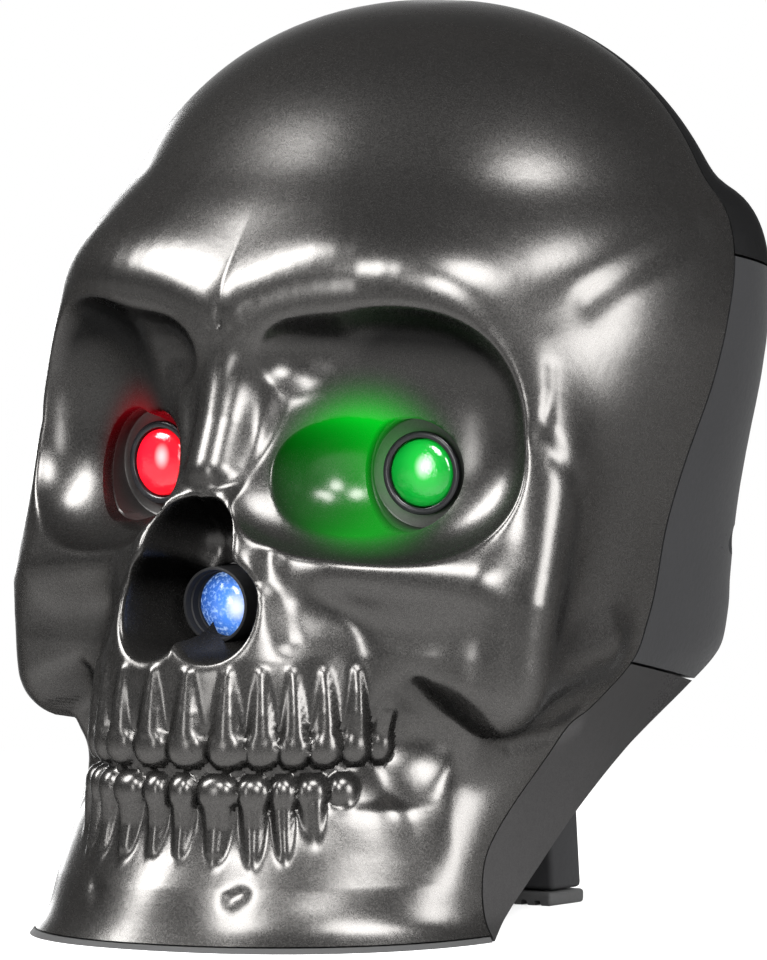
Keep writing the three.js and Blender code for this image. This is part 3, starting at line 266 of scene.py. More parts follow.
OUTLINE = Curve((
    (0, 0.726, -0.076, -0.41, 0.34, 2.25, 4), (0.024, 0.7, -0.08, -0.4, 0.36, 2, 4),
    (0.06, 0.694, -0.083, -0.385, 0.4, 1.85, 4), (0.095, 0.694, -0.072, -0.368, 0.44, 1.8, 4),
    (0.13, 0.7, -0.036, -0.347, 0.48, 1.85, 4), (0.176, 0.718, 0.025, -0.306, 0.52, 2, 3.8),
    (0.218, 0.75, 0.077, -0.264, 0.54, 2.3, 3.8), (0.26, 0.8, 0.14, -0.23, 0.55, 2.8, 3.6),
    (0.295, 0.845, 0.176, -0.215, 0.56, 3.2, 3.4), (0.335, 0.871, 0.19, -0.208, 0.568, 3.4, 3.2),
    (0.37, 0.887, 0.198, -0.208, 0.572, 3.4, 3), (0.453, 0.911, 0.212, -0.201, 0.578, 3.4, 2.9),
    (0.518, 0.94, 0.229, -0.191, 0.583, 3.2, 2.8), (0.594, 0.98, 0.264, -0.187, 0.588, 2.8, 2.7),
    (0.66, 1, 0.29, -0.187, 0.59, 2.6, 2.6), (0.73, 0.99, 0.316, -0.174, 0.582, 2.5, 2.5),
    (0.788, 0.93, 0.33, -0.132, 0.556, 2.3, 2.4), (0.847, 0.81, 0.337, -0.063, 0.52, 2.1, 2.3),
))
COLUMN = Curve((
    (0.07, 0.435, -0.319, 2.3), (0.118, 0.468, -0.344, 2.3), (0.176, 0.484, -0.361, 2.3),
    (0.235, 0.484, -0.361, 2.3), (0.282, 0.476, -0.354, 2.3), (0.33, 0.452, -0.347, 2.2),
    (0.376, 0.403, -0.352, 2), (0.424, 0.39, -0.345, 1.8), (0.47, 0.38, -0.3, 2),
    (0.494, 0.37, -0.258, 2.6), (0.53, 0.36, -0.228, 3), (0.57, 0.32, -0.212, 3),
    (0.612, 0.25, -0.206, 2.5), (0.66, 0.2, -0.21, 2), (0.694, 0.226, -0.205, 2),
))
SEAM = Curve((
    *(row[:3:2] for row in OUTLINE.rows[:-1]), (0.835, 0.337), (0.88, 0.34), (0.93, 0.34), (0.974, 0.333),
))
CORE = Curve((
    (0, 0.56, -0.1, 0.8), (0.07, 0.58, -0.095, 0.6), (0.13, 0.6, -0.09, 0.5), (0.235, 0.68, -0.06, 0.5),
    (0.295, 0.76, -0.056, 0.6), (0.37, 0.8, -0.056, 1), (0.453, 0.82, -0.056, 1), (0.56, 0.78, -0.05, 1),
    (0.66, 0.62, 0, 0.9), (0.76, 0.4, 0.12, 0.5), (0.85, 0.2, 0.25, 0.15), (0.9, 0.1, 0.33, 0),
    (0.974, 0.1, 0.333, 0),
))
UNDERSIDE = (
    (0, -0.076), (0.026, -0.028), (0.076, 0.056), (0.138, 0.153), (0.197, 0.25), (0.256, 0.361),
    (0.3, 0.458), (0.36, 0.556), (0.5, 0.7),
)
RIDGES = (
    Ridge(rounded((
        (3.1, -23.4, 116, 9), (14, -22.3, 119, 8.8), (24, -20.6, 120.3, 8.6), (31.5, -17, 119.8, 8.2),
        (37, -13, 117, 7.8), (41, -8.7, 110, 7.6), (45, -6.8, 98, 7.6), (47.3, -5.8, 87, 8),
        (48.6, -8.7, 75, 8), (49.5, -12.8, 62.1, 8), (47, -15, 46.9, 8.1),
    )), 18),
    Ridge(((49, -12, 47.9, 5), (50.5, 14, 54.1, 4)), 10),
    Ridge(((16, -33, 69, 4), (46, -19, 66, 5)), 10),
    Ridge(((0, -9.5, 123.5, 14), (14, -9, 124, 13.5), (26, -5.5, 124, 12.5)), 14),
    Ridge(((0, -27.6, 104, 6), (0, -30.7, 94, 6), (0, -34, 86, 6)), 6),
    Ridge(((31.6, -26, 25, 5), (32, -26, 18, 4.5)), 2.5),
)
CHEEKS = (
    Hollow((46, -36, 33), (13, 15, 10), 0.5, 2, 9),
    Hollow((39.5, -29, 37), (10.5, 11, 9.5), 0.2, 2, 5),
)
SOCKET = (
    Hollow((33.4, -36.5, 93.8), (31, 19, 24.4), 0.6, 2.5, 1.3),
    Hollow((19, -37, 106), (13, 12.5, 9.5), 0.3, 2.2, 1.3),
)
DISH = (Hollow((25.2, -26.5, 85.3), (15.6, 14, 11), 0, 2.3, 0.9),)
NOSE = (
    Hollow((1.2, -50, 71.5), (8.4, 21, 11.5), -0.05, 2, 3),
    Hollow((6.5, -50, 61.5), (8.1, 24, 9.4), 0, 2.2, 3),
)
WELLS = (((40.5, -38.3, 90), SOCKET), ((26, -44, 85.3), DISH), ((0, -62, 65), NOSE))
CREASES = (
    Crease(((0, -33, 113.3), (0.9, -32.6, 115)), 0.9, 0.8),
    Crease(((2.3, -32.7, 111.8), (4.9, -32.7, 114.4), (7.1, -32.1, 116.8)), 0.9, 0.9),
    Crease(((52.8, -5.9, 104.9), (53.5, -6.7, 100.8), (54.3, -8.3, 96.7)), 1.8, 0.45),
    Crease(((54.6, -10.5, 92.6), (55.7, -8.1, 89.4), (55.4, -4.3, 86.5), (55, -1.6, 81.7),
            (54.7, -0.5, 77.1), (54.3, -1.5, 73.5), (54.1, -4.2, 70.3)), 2.6, 0.55),
    Crease(((56, 4, 117.2), (58.3, 12.4, 121.4), (59.8, 22.1, 124.7), (60, 35.7, 128.8)), 3, 0.55),
    Crease(((36.3, -23.5, 47), (39.9, -18.9, 41.9), (45.3, -16.9, 38.7), (44.8, -5.2, 36.3),
            (46.4, 6.3, 37.1), (47.2, 12.7, 38.9)), 2.4, 1),
    Crease(((14.8, -52.4, 9.4), (16.2, -51.3, 10.4)), 1.5, 0.7),
    Crease(((16.3, -40.5, 70.6), (17.9, -40.7, 63.4), (20, -41.2, 56.2)), 2.4, 0.6),
    Crease(((12.4, -38.8, 80.4), (15, -40.2, 74.2), (15.5, -42.3, 67.1)), 2, 0.6),
)
GUMS = Curve((
    (0.065, 0), (0.1, 0.7), (0.145, 1.3), (0.156, 1.9), (0.19, 2.2), (0.226, 1.9), (0.24, 1.2),
    (0.28, 0.5), (0.31, 0),
))


@dataclass
class HeadForm:
    """The signed form of the whole head, and the rays that read it onto a grid."""

    cranium_at: Point = (0, 40, 106)
    cranium_radii: Point = (60.5, 64, 64)
    cranium_rear: float = 45
    cranium_full: float = 2.15
    block_top_share: float = 0.8
    column_root: float = -16
    column_top_share: float = 0.682
    column_foot_share: float = 0.059
    soft: float = 6.2
    block_soft_share: float = 1.6
    end_soft_share: float = 1.3
    column_soft_share: float = 1.15
    mouth_foot: float = 8
    mouth_top: float = 56
    mouth_back: float = -12
    gum_back: float = -18
    gum_fade: float = 8
    detail_reach: float = 6
    hollow_blend: float = 4
    wells_foot: float = 42
    wells_top: float = 125
    settle_rounds: int = 5
    settle_step: float = 0.8
    probe: float = 0.02
    least_slope: float = 0.2
    front_share: float = 0.62
    corner_share: float = 0.82
    crown_tilt: float = math.radians(20)
    tilt_start_share: float = 0.65
    tilt_span_share: float = 0.33
    ray_share: float = 0.62
    ray_steps: int = 72
    halvings: int = 13
    teeth: list[Hollow] = field(default_factory=list)
    roots: list[Ridge] = field(default_factory=list)

    def closed(self, p: Array) -> Array:
        """Signed field of the head with no teeth, sockets, nose or fine detail.

        Args:
            p: Points in millimetres.

        Returns:
            Distances, near enough to true at the surface, negative inside.
        """
        q = mirrored(p)
        x, y, z = q.T
        share = z / HEIGHT
        width, seam, front, rear, front_full, rear_full = OUTLINE.at(share)
        behind = y - seam * DEPTH
        ahead = behind < 0
        reach = np.where(ahead, seam - front, rear - seam) * DEPTH
        block = section(x, behind, width * HALF_WIDTH, reach, np.where(ahead, front_full, rear_full))
        radii = self.cranium_radii
        rear_radii = (radii[0], self.cranium_rear, radii[2])
        cranium = np.where(
            y < self.cranium_at[1],
            ellipsoid(q, Hollow(self.cranium_at, radii, 0, self.cranium_full, 0)),
            ellipsoid(q, Hollow(self.cranium_at, rear_radii, 0, self.cranium_full, 0)),
        )
        block = soft_max(block, z - self.block_top_share * HEIGHT, self.block_soft_share * self.soft)
        f = soft_min(cranium, block, self.soft)
        column_width, column_front, column_full = COLUMN.at(share)
        out = np.maximum(self.column_root - y, 0)
        reach = self.column_root - column_front * DEPTH
        column = section(x, out, column_width * HALF_WIDTH, reach, column_full)
        ends = soft_max(z - self.column_top_share * HEIGHT, self.column_foot_share * HEIGHT - z, self.soft)
        column = soft_max(column, np.maximum(ends, y), self.end_soft_share * self.soft)
        f = soft_min(f, column, self.column_soft_share * self.soft)
        for ridge in RIDGES:
            f = soft_min(f, ridge.field(q), ridge.blend)
        for cheek in CHEEKS:
            f = soft_max(f, -ellipsoid(q, cheek), cheek.blend)
        return f

    def detailed(self, p: Array) -> Array:
        """Signed field of the closed head with its teeth, their roots and the fine creases.

        Args:
            p: Points in millimetres.

        Returns:
            Values, negative inside.
        """
        f = self.closed(p)
        near = np.abs(f) < self.detail_reach
        q = mirrored(p[near])
        g = f[near]
        mouth = (q[:, 2] < self.mouth_top) & (q[:, 2] > self.mouth_foot) & (q[:, 1] < self.mouth_back)
        back = np.clip((self.gum_back - q[mouth, 1]) / self.gum_fade, 0, 1)
        h = g[mouth] + GUMS.at(q[mouth, 2] / HEIGHT)[0] * back**2 * (3 - 2 * back)
        for root in self.roots:
            h = soft_min(h, root.field(q[mouth]), root.blend)
        for tooth in self.teeth:
            h = soft_min(h, ellipsoid(q[mouth], tooth), tooth.blend)
        g[mouth] = h
        for crease in CREASES:
            gaps = [along(q, a, b)[0] for a, b in zip(crease.points, crease.points[1:])]
            g += crease.depth * np.exp(-((np.min(gaps, axis=0) / crease.width) ** 2))
        f[near] = g
        return f

    def opened(self, p: Array) -> Array:
        """Signed field of the detailed head with its eye sockets and nose.

        Args:
            p: Points in millimetres.

        Returns:
            Values, negative inside.
        """
        f = self.detailed(p)
        q = mirrored(p)
        for _, hollows in WELLS:
            f = soft_max(f, -self.hollow(q, hollows, 0), hollows[0].blend)
        return f

    def hollow(self, p: Array, hollows: Sequence[Hollow], allowance: float) -> Array:
        """Signed field of a group of hollows, rounded where they meet.

        Args:
            p: Points on the left half.
            hollows: The group.
            allowance: How much larger all round the hollows are.

        Returns:
            Values, negative inside the group.
        """
        grown = [replace(h, radii=tuple(r + allowance for r in h.radii)) for h in hollows]
        f = ellipsoid(p, grown[0])
        for one in grown[1:]:
            f = soft_min(f, ellipsoid(p, one), self.hollow_blend)
        return f

    def depth(self, p: Array) -> Array:
        """True distance from the closed surface, near it, negative inside."""
        f = self.closed(p)
        return f / np.maximum(np.linalg.norm(self.slope(self.closed, p, f), axis=1), self.least_slope)

    def slope(self, read: Field, p: Array, f: Array) -> Array:
        """Slope of a field at points where its values are known."""
        steps = self.probe * np.eye(3)
        return np.stack([(read(p + step) - f) / self.probe for step in steps], axis=1)

    def sink(self, p: Array, allowance: float) -> Array:
        """Moves points of the closed head down into the sockets and nose.

        Args:
            p: The points.
            allowance: How much larger all round the hollows are.

        Returns:
            The points, with those inside a hollow pushed to its far wall.
        """
        side = np.where(p[:, 0] < 0, -1, 1)
        moved = mirrored(p)
        for focus, hollows in WELLS:
            def read(q: Array) -> Array:
                """Signed field of the grown hollows together."""
                return self.hollow(mirrored(q), hollows, allowance)

            go = read(moved) < 0
            way = moved[go] - np.array(focus)
            way /= np.linalg.norm(way, axis=1)[:, None]
            moved[go] = self.leave(moved[go], way, read, 0)
        return moved * np.column_stack((side, np.ones((len(p), 2))))

    def settle(self, p: Array) -> Array:
        """Brings points near the sockets and nose onto the rounded surface.

        Args:
            p: The points.

        Returns:
            The points, with those near a hollow moved.
        """
        moved = p.copy()
        near = (p[:, 1] < 0) & (p[:, 2] > self.wells_foot) & (p[:, 2] < self.wells_top)
        for _ in range(self.settle_rounds):
            q = moved[near]
            f = self.opened(q)
            slope = self.slope(self.opened, q, f)
            most = self.settle_step
            step = np.clip(f, -most, most) / np.maximum(np.sum(slope**2, axis=1), self.least_slope)
            moved[near] = q - step[:, None] * slope
        return moved

    def rays(self, share: Array, turn: Array) -> tuple[Array, Array]:
        """Rays that read the surface.

        Args:
            share: Height of each ray, as a share of the head's.
            turn: Way round the head: 0 to 0.5 over the face from right to left, then the rear.

        Returns:
            Where the rays start and the unit ways that they run.
        """
        seam = SEAM.at(share)[0] * DEPTH
        z = share * HEIGHT
        side = turn * 4 - 1
        t = np.abs(side)
        width, core, boxy = CORE.at(share)
        corner = np.clip((t - self.front_share) / (self.corner_share - self.front_share), 0, 1)
        angle = (t + (corner - t) * boxy) * math.pi / 2
        back = np.clip((t - self.corner_share) / (1 - self.corner_share), 0, 1)
        y = seam - boxy * (seam - np.minimum(core * DEPTH, seam)) * (1 - back)
        tilt = self.crown_tilt * np.clip((share - self.tilt_start_share) / self.tilt_span_share, 0, 1) ** 2
        sign = np.sign(side)
        x = sign * boxy * width * HALF_WIDTH * np.minimum(t / self.front_share, 1)
        start = np.column_stack((x, y, z + (seam - y) * np.tan(tilt)))
        ahead = np.cos(angle)
        way = np.column_stack((sign * np.sin(angle), -ahead * np.cos(tilt), ahead * np.sin(tilt)))
        rear = turn > 0.5
        round_angle = (turn - 0.5) * 2 * math.pi
        start[rear] = np.column_stack((np.zeros_like(z), seam, z))[rear]
        way[rear] = np.column_stack((np.cos(round_angle), np.sin(round_angle), np.zeros_like(z)))[rear]
        return start, way

    def leave(
        self, start: Array, way: Array, read: Field, level: float, last: bool = False,
    ) -> Array:
        """Finds where rays pass a level of a field.

        Args:
            start: Where the rays start.
            way: Their unit ways.
            read: The field.
            level: The level, negative below the surface.
            last: Whether the outermost pass is wanted, not the first.

        Returns:
            The points.
        """
        reach, steps = self.ray_share * DEPTH, self.ray_steps
        low, high = np.zeros(len(start)), np.full(len(start), reach)
        going = np.arange(len(start))
        for i in range(steps, 0, -1) if last else range(1, steps + 1):
            r = reach * i / steps
            out = read(start[going] + way[going] * r) > level
            high[going[out]] = r
            if last:
                low[going[~out]] = r
                going = going[out]
            else:
                going = going[~out]
                low[going] = r
        for _ in range(self.halvings):
            middle = (low + high) / 2
            out = read(start + way * middle[:, None]) > level
            high = np.where(out, middle, high)
            low = np.where(out, low, middle)
        return start + way * ((low + high) / 2)[:, None]


# Mesh making

SHARP_ANGLE = math.radians(38)
MERGE = 1e-4


class Maker:
    """Makes closed meshes with bmesh operators, and cuts them with each other."""

    def keep(self, bm: Form, name: str) -> Piece:
        """Makes an object of a bmesh that is in head millimetres.

        Args:
            bm: The bmesh, freed here.
            name: The object's name.

        Returns:
            The object, with its mesh in the frame's metres.
        """
        bmesh.ops.translate(bm, vec=(0, FRAME_SHIFT, 0), verts=bm.verts)
        bmesh.ops.scale(bm, vec=(MM, MM, MM), verts=bm.verts)
        bmesh.ops.recalc_face_normals(bm, faces=bm.faces)
        mesh = bpy.data.meshes.new(name)
        bm.to_mesh(mesh)
        bm.free()
        piece = bpy.data.objects.new(name, mesh)
        bpy.context.scene.collection.objects.link(piece)
        return piece

    def rod(self, radius: float, length: float, at: Point, way: Vector, segments: int = 64) -> Form:
        """A plain closed rod from a point, along a way.

        Args:
            radius: Its radius.
            length: Its length.
            at: The middle of its first end.
            way: Which way it runs.
            segments: Faces round.

        Returns:
            The closed bmesh.
        """
        bm = bmesh.new()
        ends = {"radius1": radius, "radius2": radius, "cap_ends": True}
        bmesh.ops.create_cone(bm, segments=segments, depth=length, **ends)
        bmesh.ops.translate(bm, vec=(0, 0, length / 2), verts=bm.verts)
        self.aim(bm, at, way)
        return bm

    def aim(self, bm: Form, at: Point, way: Vector) -> None:
        """Turns a bmesh's own Z to a way, and moves its zero to a point."""
        turn = Vector((0, 0, 1)).rotation_difference(way.normalized()).to_matrix().to_4x4()
        bmesh.ops.transform(bm, matrix=Matrix.Translation(at) @ turn, verts=bm.verts)

    def spun(self, profile: Sequence[Pair], at: Point, way: Vector, steps: int = 96) -> Form:
        """Spins a profile of radius and height once round a way.

        Args:
            profile: Radius and height of each point, in order.
            at: Where height zero is.
            way: Which way heights rise.
            steps: Faces round.

        Returns:
            The closed bmesh.
        """
        bm = bmesh.new()
        verts = [bm.verts.new((r, 0, z)) for r, z in profile]
        edges = [bm.edges.new(pair) for pair in zip(verts, verts[1:])]
        if profile[0][0] > 0 and profile[-1] != profile[0]:
            edges.append(bm.edges.new((verts[-1], verts[0])))
        turn = {"cent": (0, 0, 0), "axis": (0, 0, 1), "angle": 2 * math.pi}
        bmesh.ops.spin(bm, geom=verts + edges, steps=steps, use_merge=True, **turn)
        bmesh.ops.remove_doubles(bm, verts=bm.verts, dist=MERGE)
        bmesh.ops.recalc_face_normals(bm, faces=bm.faces)
        self.aim(bm, at, way)
        return bm

    def box(self, size: Point, at: Point, bevel: float = 0, segments: int = 3) -> Form:
        """A box about a point, with rounded edges.

        Args:
            size: Its width, depth and height.
            at: Its middle.
            bevel: Radius of its edges, zero for sharp ones.
            segments: Faces across each edge.

        Returns:
            The closed bmesh.
        """
        bm = bmesh.new()
        bmesh.ops.create_cube(bm, size=1)
        bmesh.ops.scale(bm, vec=size, verts=bm.verts)
        if bevel:
            self.round_edges(bm, list(bm.edges), bevel, segments)
        bmesh.ops.translate(bm, vec=at, verts=bm.verts)
        return bm

    def round_edges(
        self, bm: Form, edges: list[bmesh.types.BMEdge], offset: float, segments: int = 3,
    ) -> None:
        """Rounds edges."""
        shape = {"profile": 0.5, "affect": "EDGES", "material": -1}
        bmesh.ops.bevel(bm, geom=edges, offset=offset, segments=segments, **shape)

    def prism(self, outline: Iterable[Pair], half: float, x: float = 0) -> Form:
        """A prism across X from an outline of depth and height.

        Args:
            outline: Depth and height of each point, in order.
            half: Half its width across X.
            x: Its middle across X.

        Returns:
            The closed bmesh.
        """
        bm = bmesh.new()
        face = bm.faces.new([bm.verts.new((x - half, y, z)) for y, z in outline])
        made = bmesh.ops.extrude_face_region(bm, geom=[face])
        moved = [v for v in made["geom"] if isinstance(v, bmesh.types.BMVert)]
        bmesh.ops.translate(bm, vec=(2 * half, 0, 0), verts=moved)
        bmesh.ops.recalc_face_normals(bm, faces=bm.faces)
        return bm

    def cut(self, piece: Piece, tools: Cuts) -> None:
        """Cuts a closed piece with closed tools, in order.

        Args:
            piece: The piece, changed in place.
            tools: How each tool acts, and the tool, which is used up.
        """
        for how, bm in tools:
            bmesh.ops.triangulate(bm, faces=bm.faces)
            tool = self.keep(bm, "tool")
            self.apply(piece, how, tool)
            self.drop(tool)

    def drop(self, piece: Piece) -> None:
        """Removes a helper object and its mesh.

        Args:
            piece: The helper, gone afterwards.
        """
        mesh = piece.data
        bpy.data.objects.remove(piece)
        bpy.data.meshes.remove(mesh)

    def apply(self, piece: Piece, how: Cut, tool: Piece) -> None:
        """Applies one boolean between two closed objects.

        Args:
            piece: The solid, changed in place.
            how: How the tool acts.
            tool: The tool, left as it is.
        """
        modifier = piece.modifiers.new("cut", "BOOLEAN")
        modifier.solver, modifier.operation, modifier.object = "MANIFOLD", how.value, tool
        graph = bpy.context.evaluated_depsgraph_get()
        made = bpy.data.meshes.new_from_object(piece.evaluated_get(graph))
        piece.modifiers.clear()
        spent = piece.data
        piece.data = made
        bpy.data.meshes.remove(spent)

    def copy(self, piece: Piece, name: str) -> Piece:
        """A copy of a piece with its own mesh.

        Args:
            piece: The piece.
            name: The copy's name.

        Returns:
            The copy.
        """
        twin = bpy.data.objects.new(name, piece.data.copy())
        bpy.context.scene.collection.objects.link(twin)
        return twin


def smooth(piece: Piece) -> None:
    """Shades a piece smooth, with sharp edges kept crisp.

    Args:
        piece: The piece, changed in place.
    """
    bm = bmesh.new()
    bm.from_mesh(piece.data)
    for edge in bm.edges:
        edge.smooth = len(edge.link_faces) == 2 and edge.calc_face_angle(0) < SHARP_ANGLE
    for face in bm.faces:
        face.smooth = True
    bm.to_mesh(piece.data)
    bm.free()


# Finishes


@dataclass
class Wire:
    """A shader socket that sums, multiplies and takes powers like a number."""

    shader: "Shader"
    socket: bpy.types.NodeSocket

    def _math(self, operation: str, other: "Wire | float") -> "Wire":
        """One Math node."""
        return self.shader.node("ShaderNodeMath", {"operation": operation}, {0: self, 1: other})

    def __add__(self, other: "Wire | float") -> "Wire":
        """Sum."""
        return self._math("ADD", other)

    __radd__ = __add__

    def __mul__(self, other: "Wire | float") -> "Wire":
        """Product."""
        return self._math("MULTIPLY", other)

    def __pow__(self, other: float) -> "Wire":
        """Power."""
        return self._math("POWER", other)


@dataclass
class Shader:
    """The node tree of a material, or of the surround."""

    owner: bpy.types.Material | bpy.types.World

    def __post_init__(self) -> None:
        """Empties the tree."""
        self.owner.use_nodes = True
        self.owner.node_tree.nodes.clear()

    def node(
        self, kind: str, settings: dict | None = None, sockets: dict | None = None, output: int | str = 0,
    ) -> Wire:
        """Adds a node.

        Args:
            kind: The node's type.
            settings: The node's own settings.
            sockets: Values or wires by input socket.
            output: The output socket to return.

        Returns:
            The wrapped output.
        """
        tree = self.owner.node_tree
        made = tree.nodes.new(kind)
        for key, value in (settings or {}).items():
            setattr(made, key, value)
        for key, value in (sockets or {}).items():
            socket = made.inputs[key]
            if isinstance(value, Wire):
                tree.links.new(value.socket, socket)
            else:
                socket.default_value = (*value, 1) if socket.type == "RGBA" else value
        return Wire(self, made.outputs[output])

    def end(self, kind: str, surface: Wire) -> bpy.types.Material | bpy.types.World:
        """Ends the tree in an output node, and gives back its owner.

        Args:
            kind: The output node's type.
            surface: The closing shader.

        Returns:
            The owner.
        """
        out = self.owner.node_tree.nodes.new(kind)
        self.owner.node_tree.links.new(surface.socket, out.inputs["Surface"])
        return self.owner

    def spot(self) -> Wire:
        """Object coordinates."""
        return self.node("ShaderNodeTexCoord", output="Object")

    def place(self, scale: Point = (1, 1, 1)) -> Wire:
        """Object coordinates, stretched."""
        return self.node("ShaderNodeMapping", {}, {"Vector": self.spot(), "Scale": scale})

    def noise(self, scale: float, detail: float = 2, stretch: Point = (1, 1, 1)) -> Wire:
        """Soft noise on the surface."""
        look = {"Vector": self.place(stretch), "Scale": scale, "Detail": detail}
        return self.node("ShaderNodeTexNoise", {}, look)

    def cells(self, scale: float) -> Wire:
        """One random grey per small cell."""
        cell = self.node("ShaderNodeTexVoronoi", {}, {"Vector": self.place(), "Scale": scale}, "Color")
        return self.node("ShaderNodeSeparateColor", {}, {"Color": cell})

    def mix(self, factor: Wire, a: Point | Wire, b: Point | Wire) -> Wire:
        """Mixes two colours."""
        return self.node("ShaderNodeMix", {"data_type": "RGBA"}, {0: factor, 6: a, 7: b}, 2)

    def bump(self, height: Wire, strength: float, distance: float) -> Wire:
        """Bump from a height, with its distance in metres."""
        return self.node("ShaderNodeBump", {}, {"Height": height, "Strength": strength, "Distance": distance})

    def vector(self, operation: str, *values: Wire | Point, output: str = "Vector") -> Wire:
        """One Vector Math node."""
        return self.node("ShaderNodeVectorMath", {"operation": operation}, dict(enumerate(values)), output)

    def fade(self, value: Wire, start: float, end: float, low: float, high: float) -> Wire:
        """Turns a value smoothly from low at the start to high at the end."""
        span = {"Value": value, "From Min": start, "From Max": end, "To Min": low, "To Max": high}
        return self.node("ShaderNodeMapRange", {"interpolation_type": "SMOOTHSTEP"}, span)

    def near(self, at: Point, reach: float, stretch: Point = (1, 1, 1)) -> Wire:
        """One at a point, falling smoothly to nothing over a reach."""
        apart = self.vector("MULTIPLY", self.vector("SUBTRACT", self.spot(), at), stretch)
        return self.fade(self.vector("LENGTH", apart, output="Value"), 0, reach, 1, 0)

    def ray(self, kind: str) -> Wire:
        """One for rays of a kind, else zero."""
        return self.node("ShaderNodeLightPath", output=f"Is {kind} Ray")

    def finish(self, **sockets: Wire | float | Point) -> bpy.types.Material:
        """Ends the tree in a surface shader, with sockets named in snake case.

        Args:
            **sockets: Values or wires by socket.

        Returns:
            The material.
        """
        values = {}
        for key, value in sockets.items():
            values[key.replace("_", " ").title().replace("Ior", "IOR")] = value
        return self.end("ShaderNodeOutputMaterial", self.node("ShaderNodeBsdfPrincipled", {}, values))


@dataclass(frozen=True)
class Coat:
    """A finish, built the first time that it is asked for."""

    name: str

    def build(self, s: Shader) -> bpy.types.Material:
        """Builds the finish in an empty tree."""
        raise NotImplementedError

    def made(self) -> bpy.types.Material:
        """The finish's material."""
        return bpy.data.materials.get(self.name) or self.build(Shader(bpy.data.materials.new(self.name)))


@dataclass(frozen=True)
class PaintedGlow:
    """A painted glow of a lamp's light on the paint round it: its colour falls off from a point over a reach.
    """

    at: Point
    colour: Point
    reach: float


# Painted glows of the green and red lamps on the paint round the eyes, in the frame's metres.
PAINTED_GLOWS = (
    PaintedGlow((0.025, -0.0365, 0.0865), (0.002, 1.0, 0.03), 0.0215),
    PaintedGlow((-0.0287, -0.03, 0.088), (0.3, 0.002, 0.008), 0.017),
)


@dataclass(frozen=True)
class FlakePaint(Coat):
    """Sprayed metallic paint with fine flakes, with painted shade under the brow and a painted glow round
    each lamp.
    """

    colour: Point
    metallic: float = 0.9
    roughness: float = 0.25
    edge: float = 0.3
    flake: float = 0.25
    painted_glows: tuple[PaintedGlow, ...] = ()
    flakes_scale: float = 5200
    haze_scale: float = 38
    peel_scale: float = 420
    flakes_share: float = 0.7
    spread: float = 0.06
    # Colour and strength of the painted shade under the brow.
    shade: Point = (0.003, 0.003, 0.003)
    shade_share: float = 0.92
    # Base colour under the painted glow, and the painted glow's emission strength.
    painted_glow_base: Point = (0.002, 0.002, 0.002)
    painted_glow_base_share: float = 0.95
    glow: float = 1.8

    def build(self, s: Shader) -> bpy.types.Material:
        """Builds the paint.

        Args:
            s: The empty tree.

        Returns:
            The material.
        """
        flakes = s.cells(self.flakes_scale)
        haze = s.noise(self.haze_scale, 3)
        dark = tuple(c * (1 - self.flake) for c in self.colour)
        light = tuple(min(c * (1 + self.flake), 1) for c in self.colour)
        tone = s.mix(flakes * self.flakes_share + haze * (1 - self.flakes_share), dark, light)
        rough = self.roughness - 0.05 + flakes * self.spread + haze * self.spread
        # Painted shade: the colour goes near black where the face lies deep under the brow and faces down.
        painted_shade = s.node("ShaderNodeAttribute", {"attribute_name": "painted_shade"}, output="Fac")
        tone = s.mix(painted_shade * self.shade_share, tone, self.shade)
        # Painted glow: near each lamp the base colour goes near black and the lamp's colour is painted in as
        # emission.
        lit: Wire | Point = (0, 0, 0)
        for painted_glow in self.painted_glows:
            near = s.near(painted_glow.at, painted_glow.reach)
            tone = s.mix(near * self.painted_glow_base_share, tone, self.painted_glow_base)
            lit = s.mix(near ** 2, lit, painted_glow.colour)
        glow = {"emission_color": lit, "emission_strength": self.glow} if self.painted_glows else {}
        peel = s.bump(s.noise(self.peel_scale, 2), 0.12, 0.0002)
        tint = (self.edge, self.edge, self.edge)
        return s.finish(
            base_color=tone, metallic=self.metallic, roughness=rough, specular_tint=tint, normal=peel, **glow,
        )


@dataclass(frozen=True)
class MouldedPlastic(Coat):
    """Black moulded plastic or rubber with a fine spark texture."""

    colour: Point
    roughness: float = 0.5
    grain: float = 900
    depth: float = 0.25
    sheen: float = 0.25
    cloud_scale: float = 30
    cloud_share: float = 0.6
    spread: float = 0.12

    def build(self, s: Shader) -> bpy.types.Material:
        """Builds the plastic.

        Args:
            s: The empty tree.

        Returns:
            The material.
        """
        grain = s.noise(self.grain, 4)
        cloud = s.noise(self.cloud_scale, 2)
        dark = tuple(c * 0.75 for c in self.colour)
        light = tuple(min(c * 1.3, 1) for c in self.colour)
        tone = s.mix(cloud * self.cloud_share + grain * (1 - self.cloud_share), dark, light)
        rough = self.roughness - self.spread / 2 + grain * self.spread
        peel = s.bump(grain, self.depth, 0.0003)
        return s.finish(base_color=tone, roughness=rough, specular_ior_level=self.sheen, normal=peel)


@dataclass(frozen=True)
class TurnedMetal(Coat):
    """Bright plated metal with fine tool marks."""

    colour: Point
    roughness: float = 0.3
    marks_scale: float = 700
    marks_stretch: Point = (1, 1, 8)
    spread: float = 0.16

    def build(self, s: Shader) -> bpy.types.Material:
        """Builds the metal.

        Args:
            s: The empty tree.

        Returns:
            The material.
        """
        marks = s.noise(self.marks_scale, 3, self.marks_stretch)
        tone = s.mix(marks, tuple(c * 0.8 for c in self.colour), self.colour)
        rough = self.roughness - self.spread / 2 + marks * self.spread
        return s.finish(base_color=tone, metallic=1.0, roughness=rough)


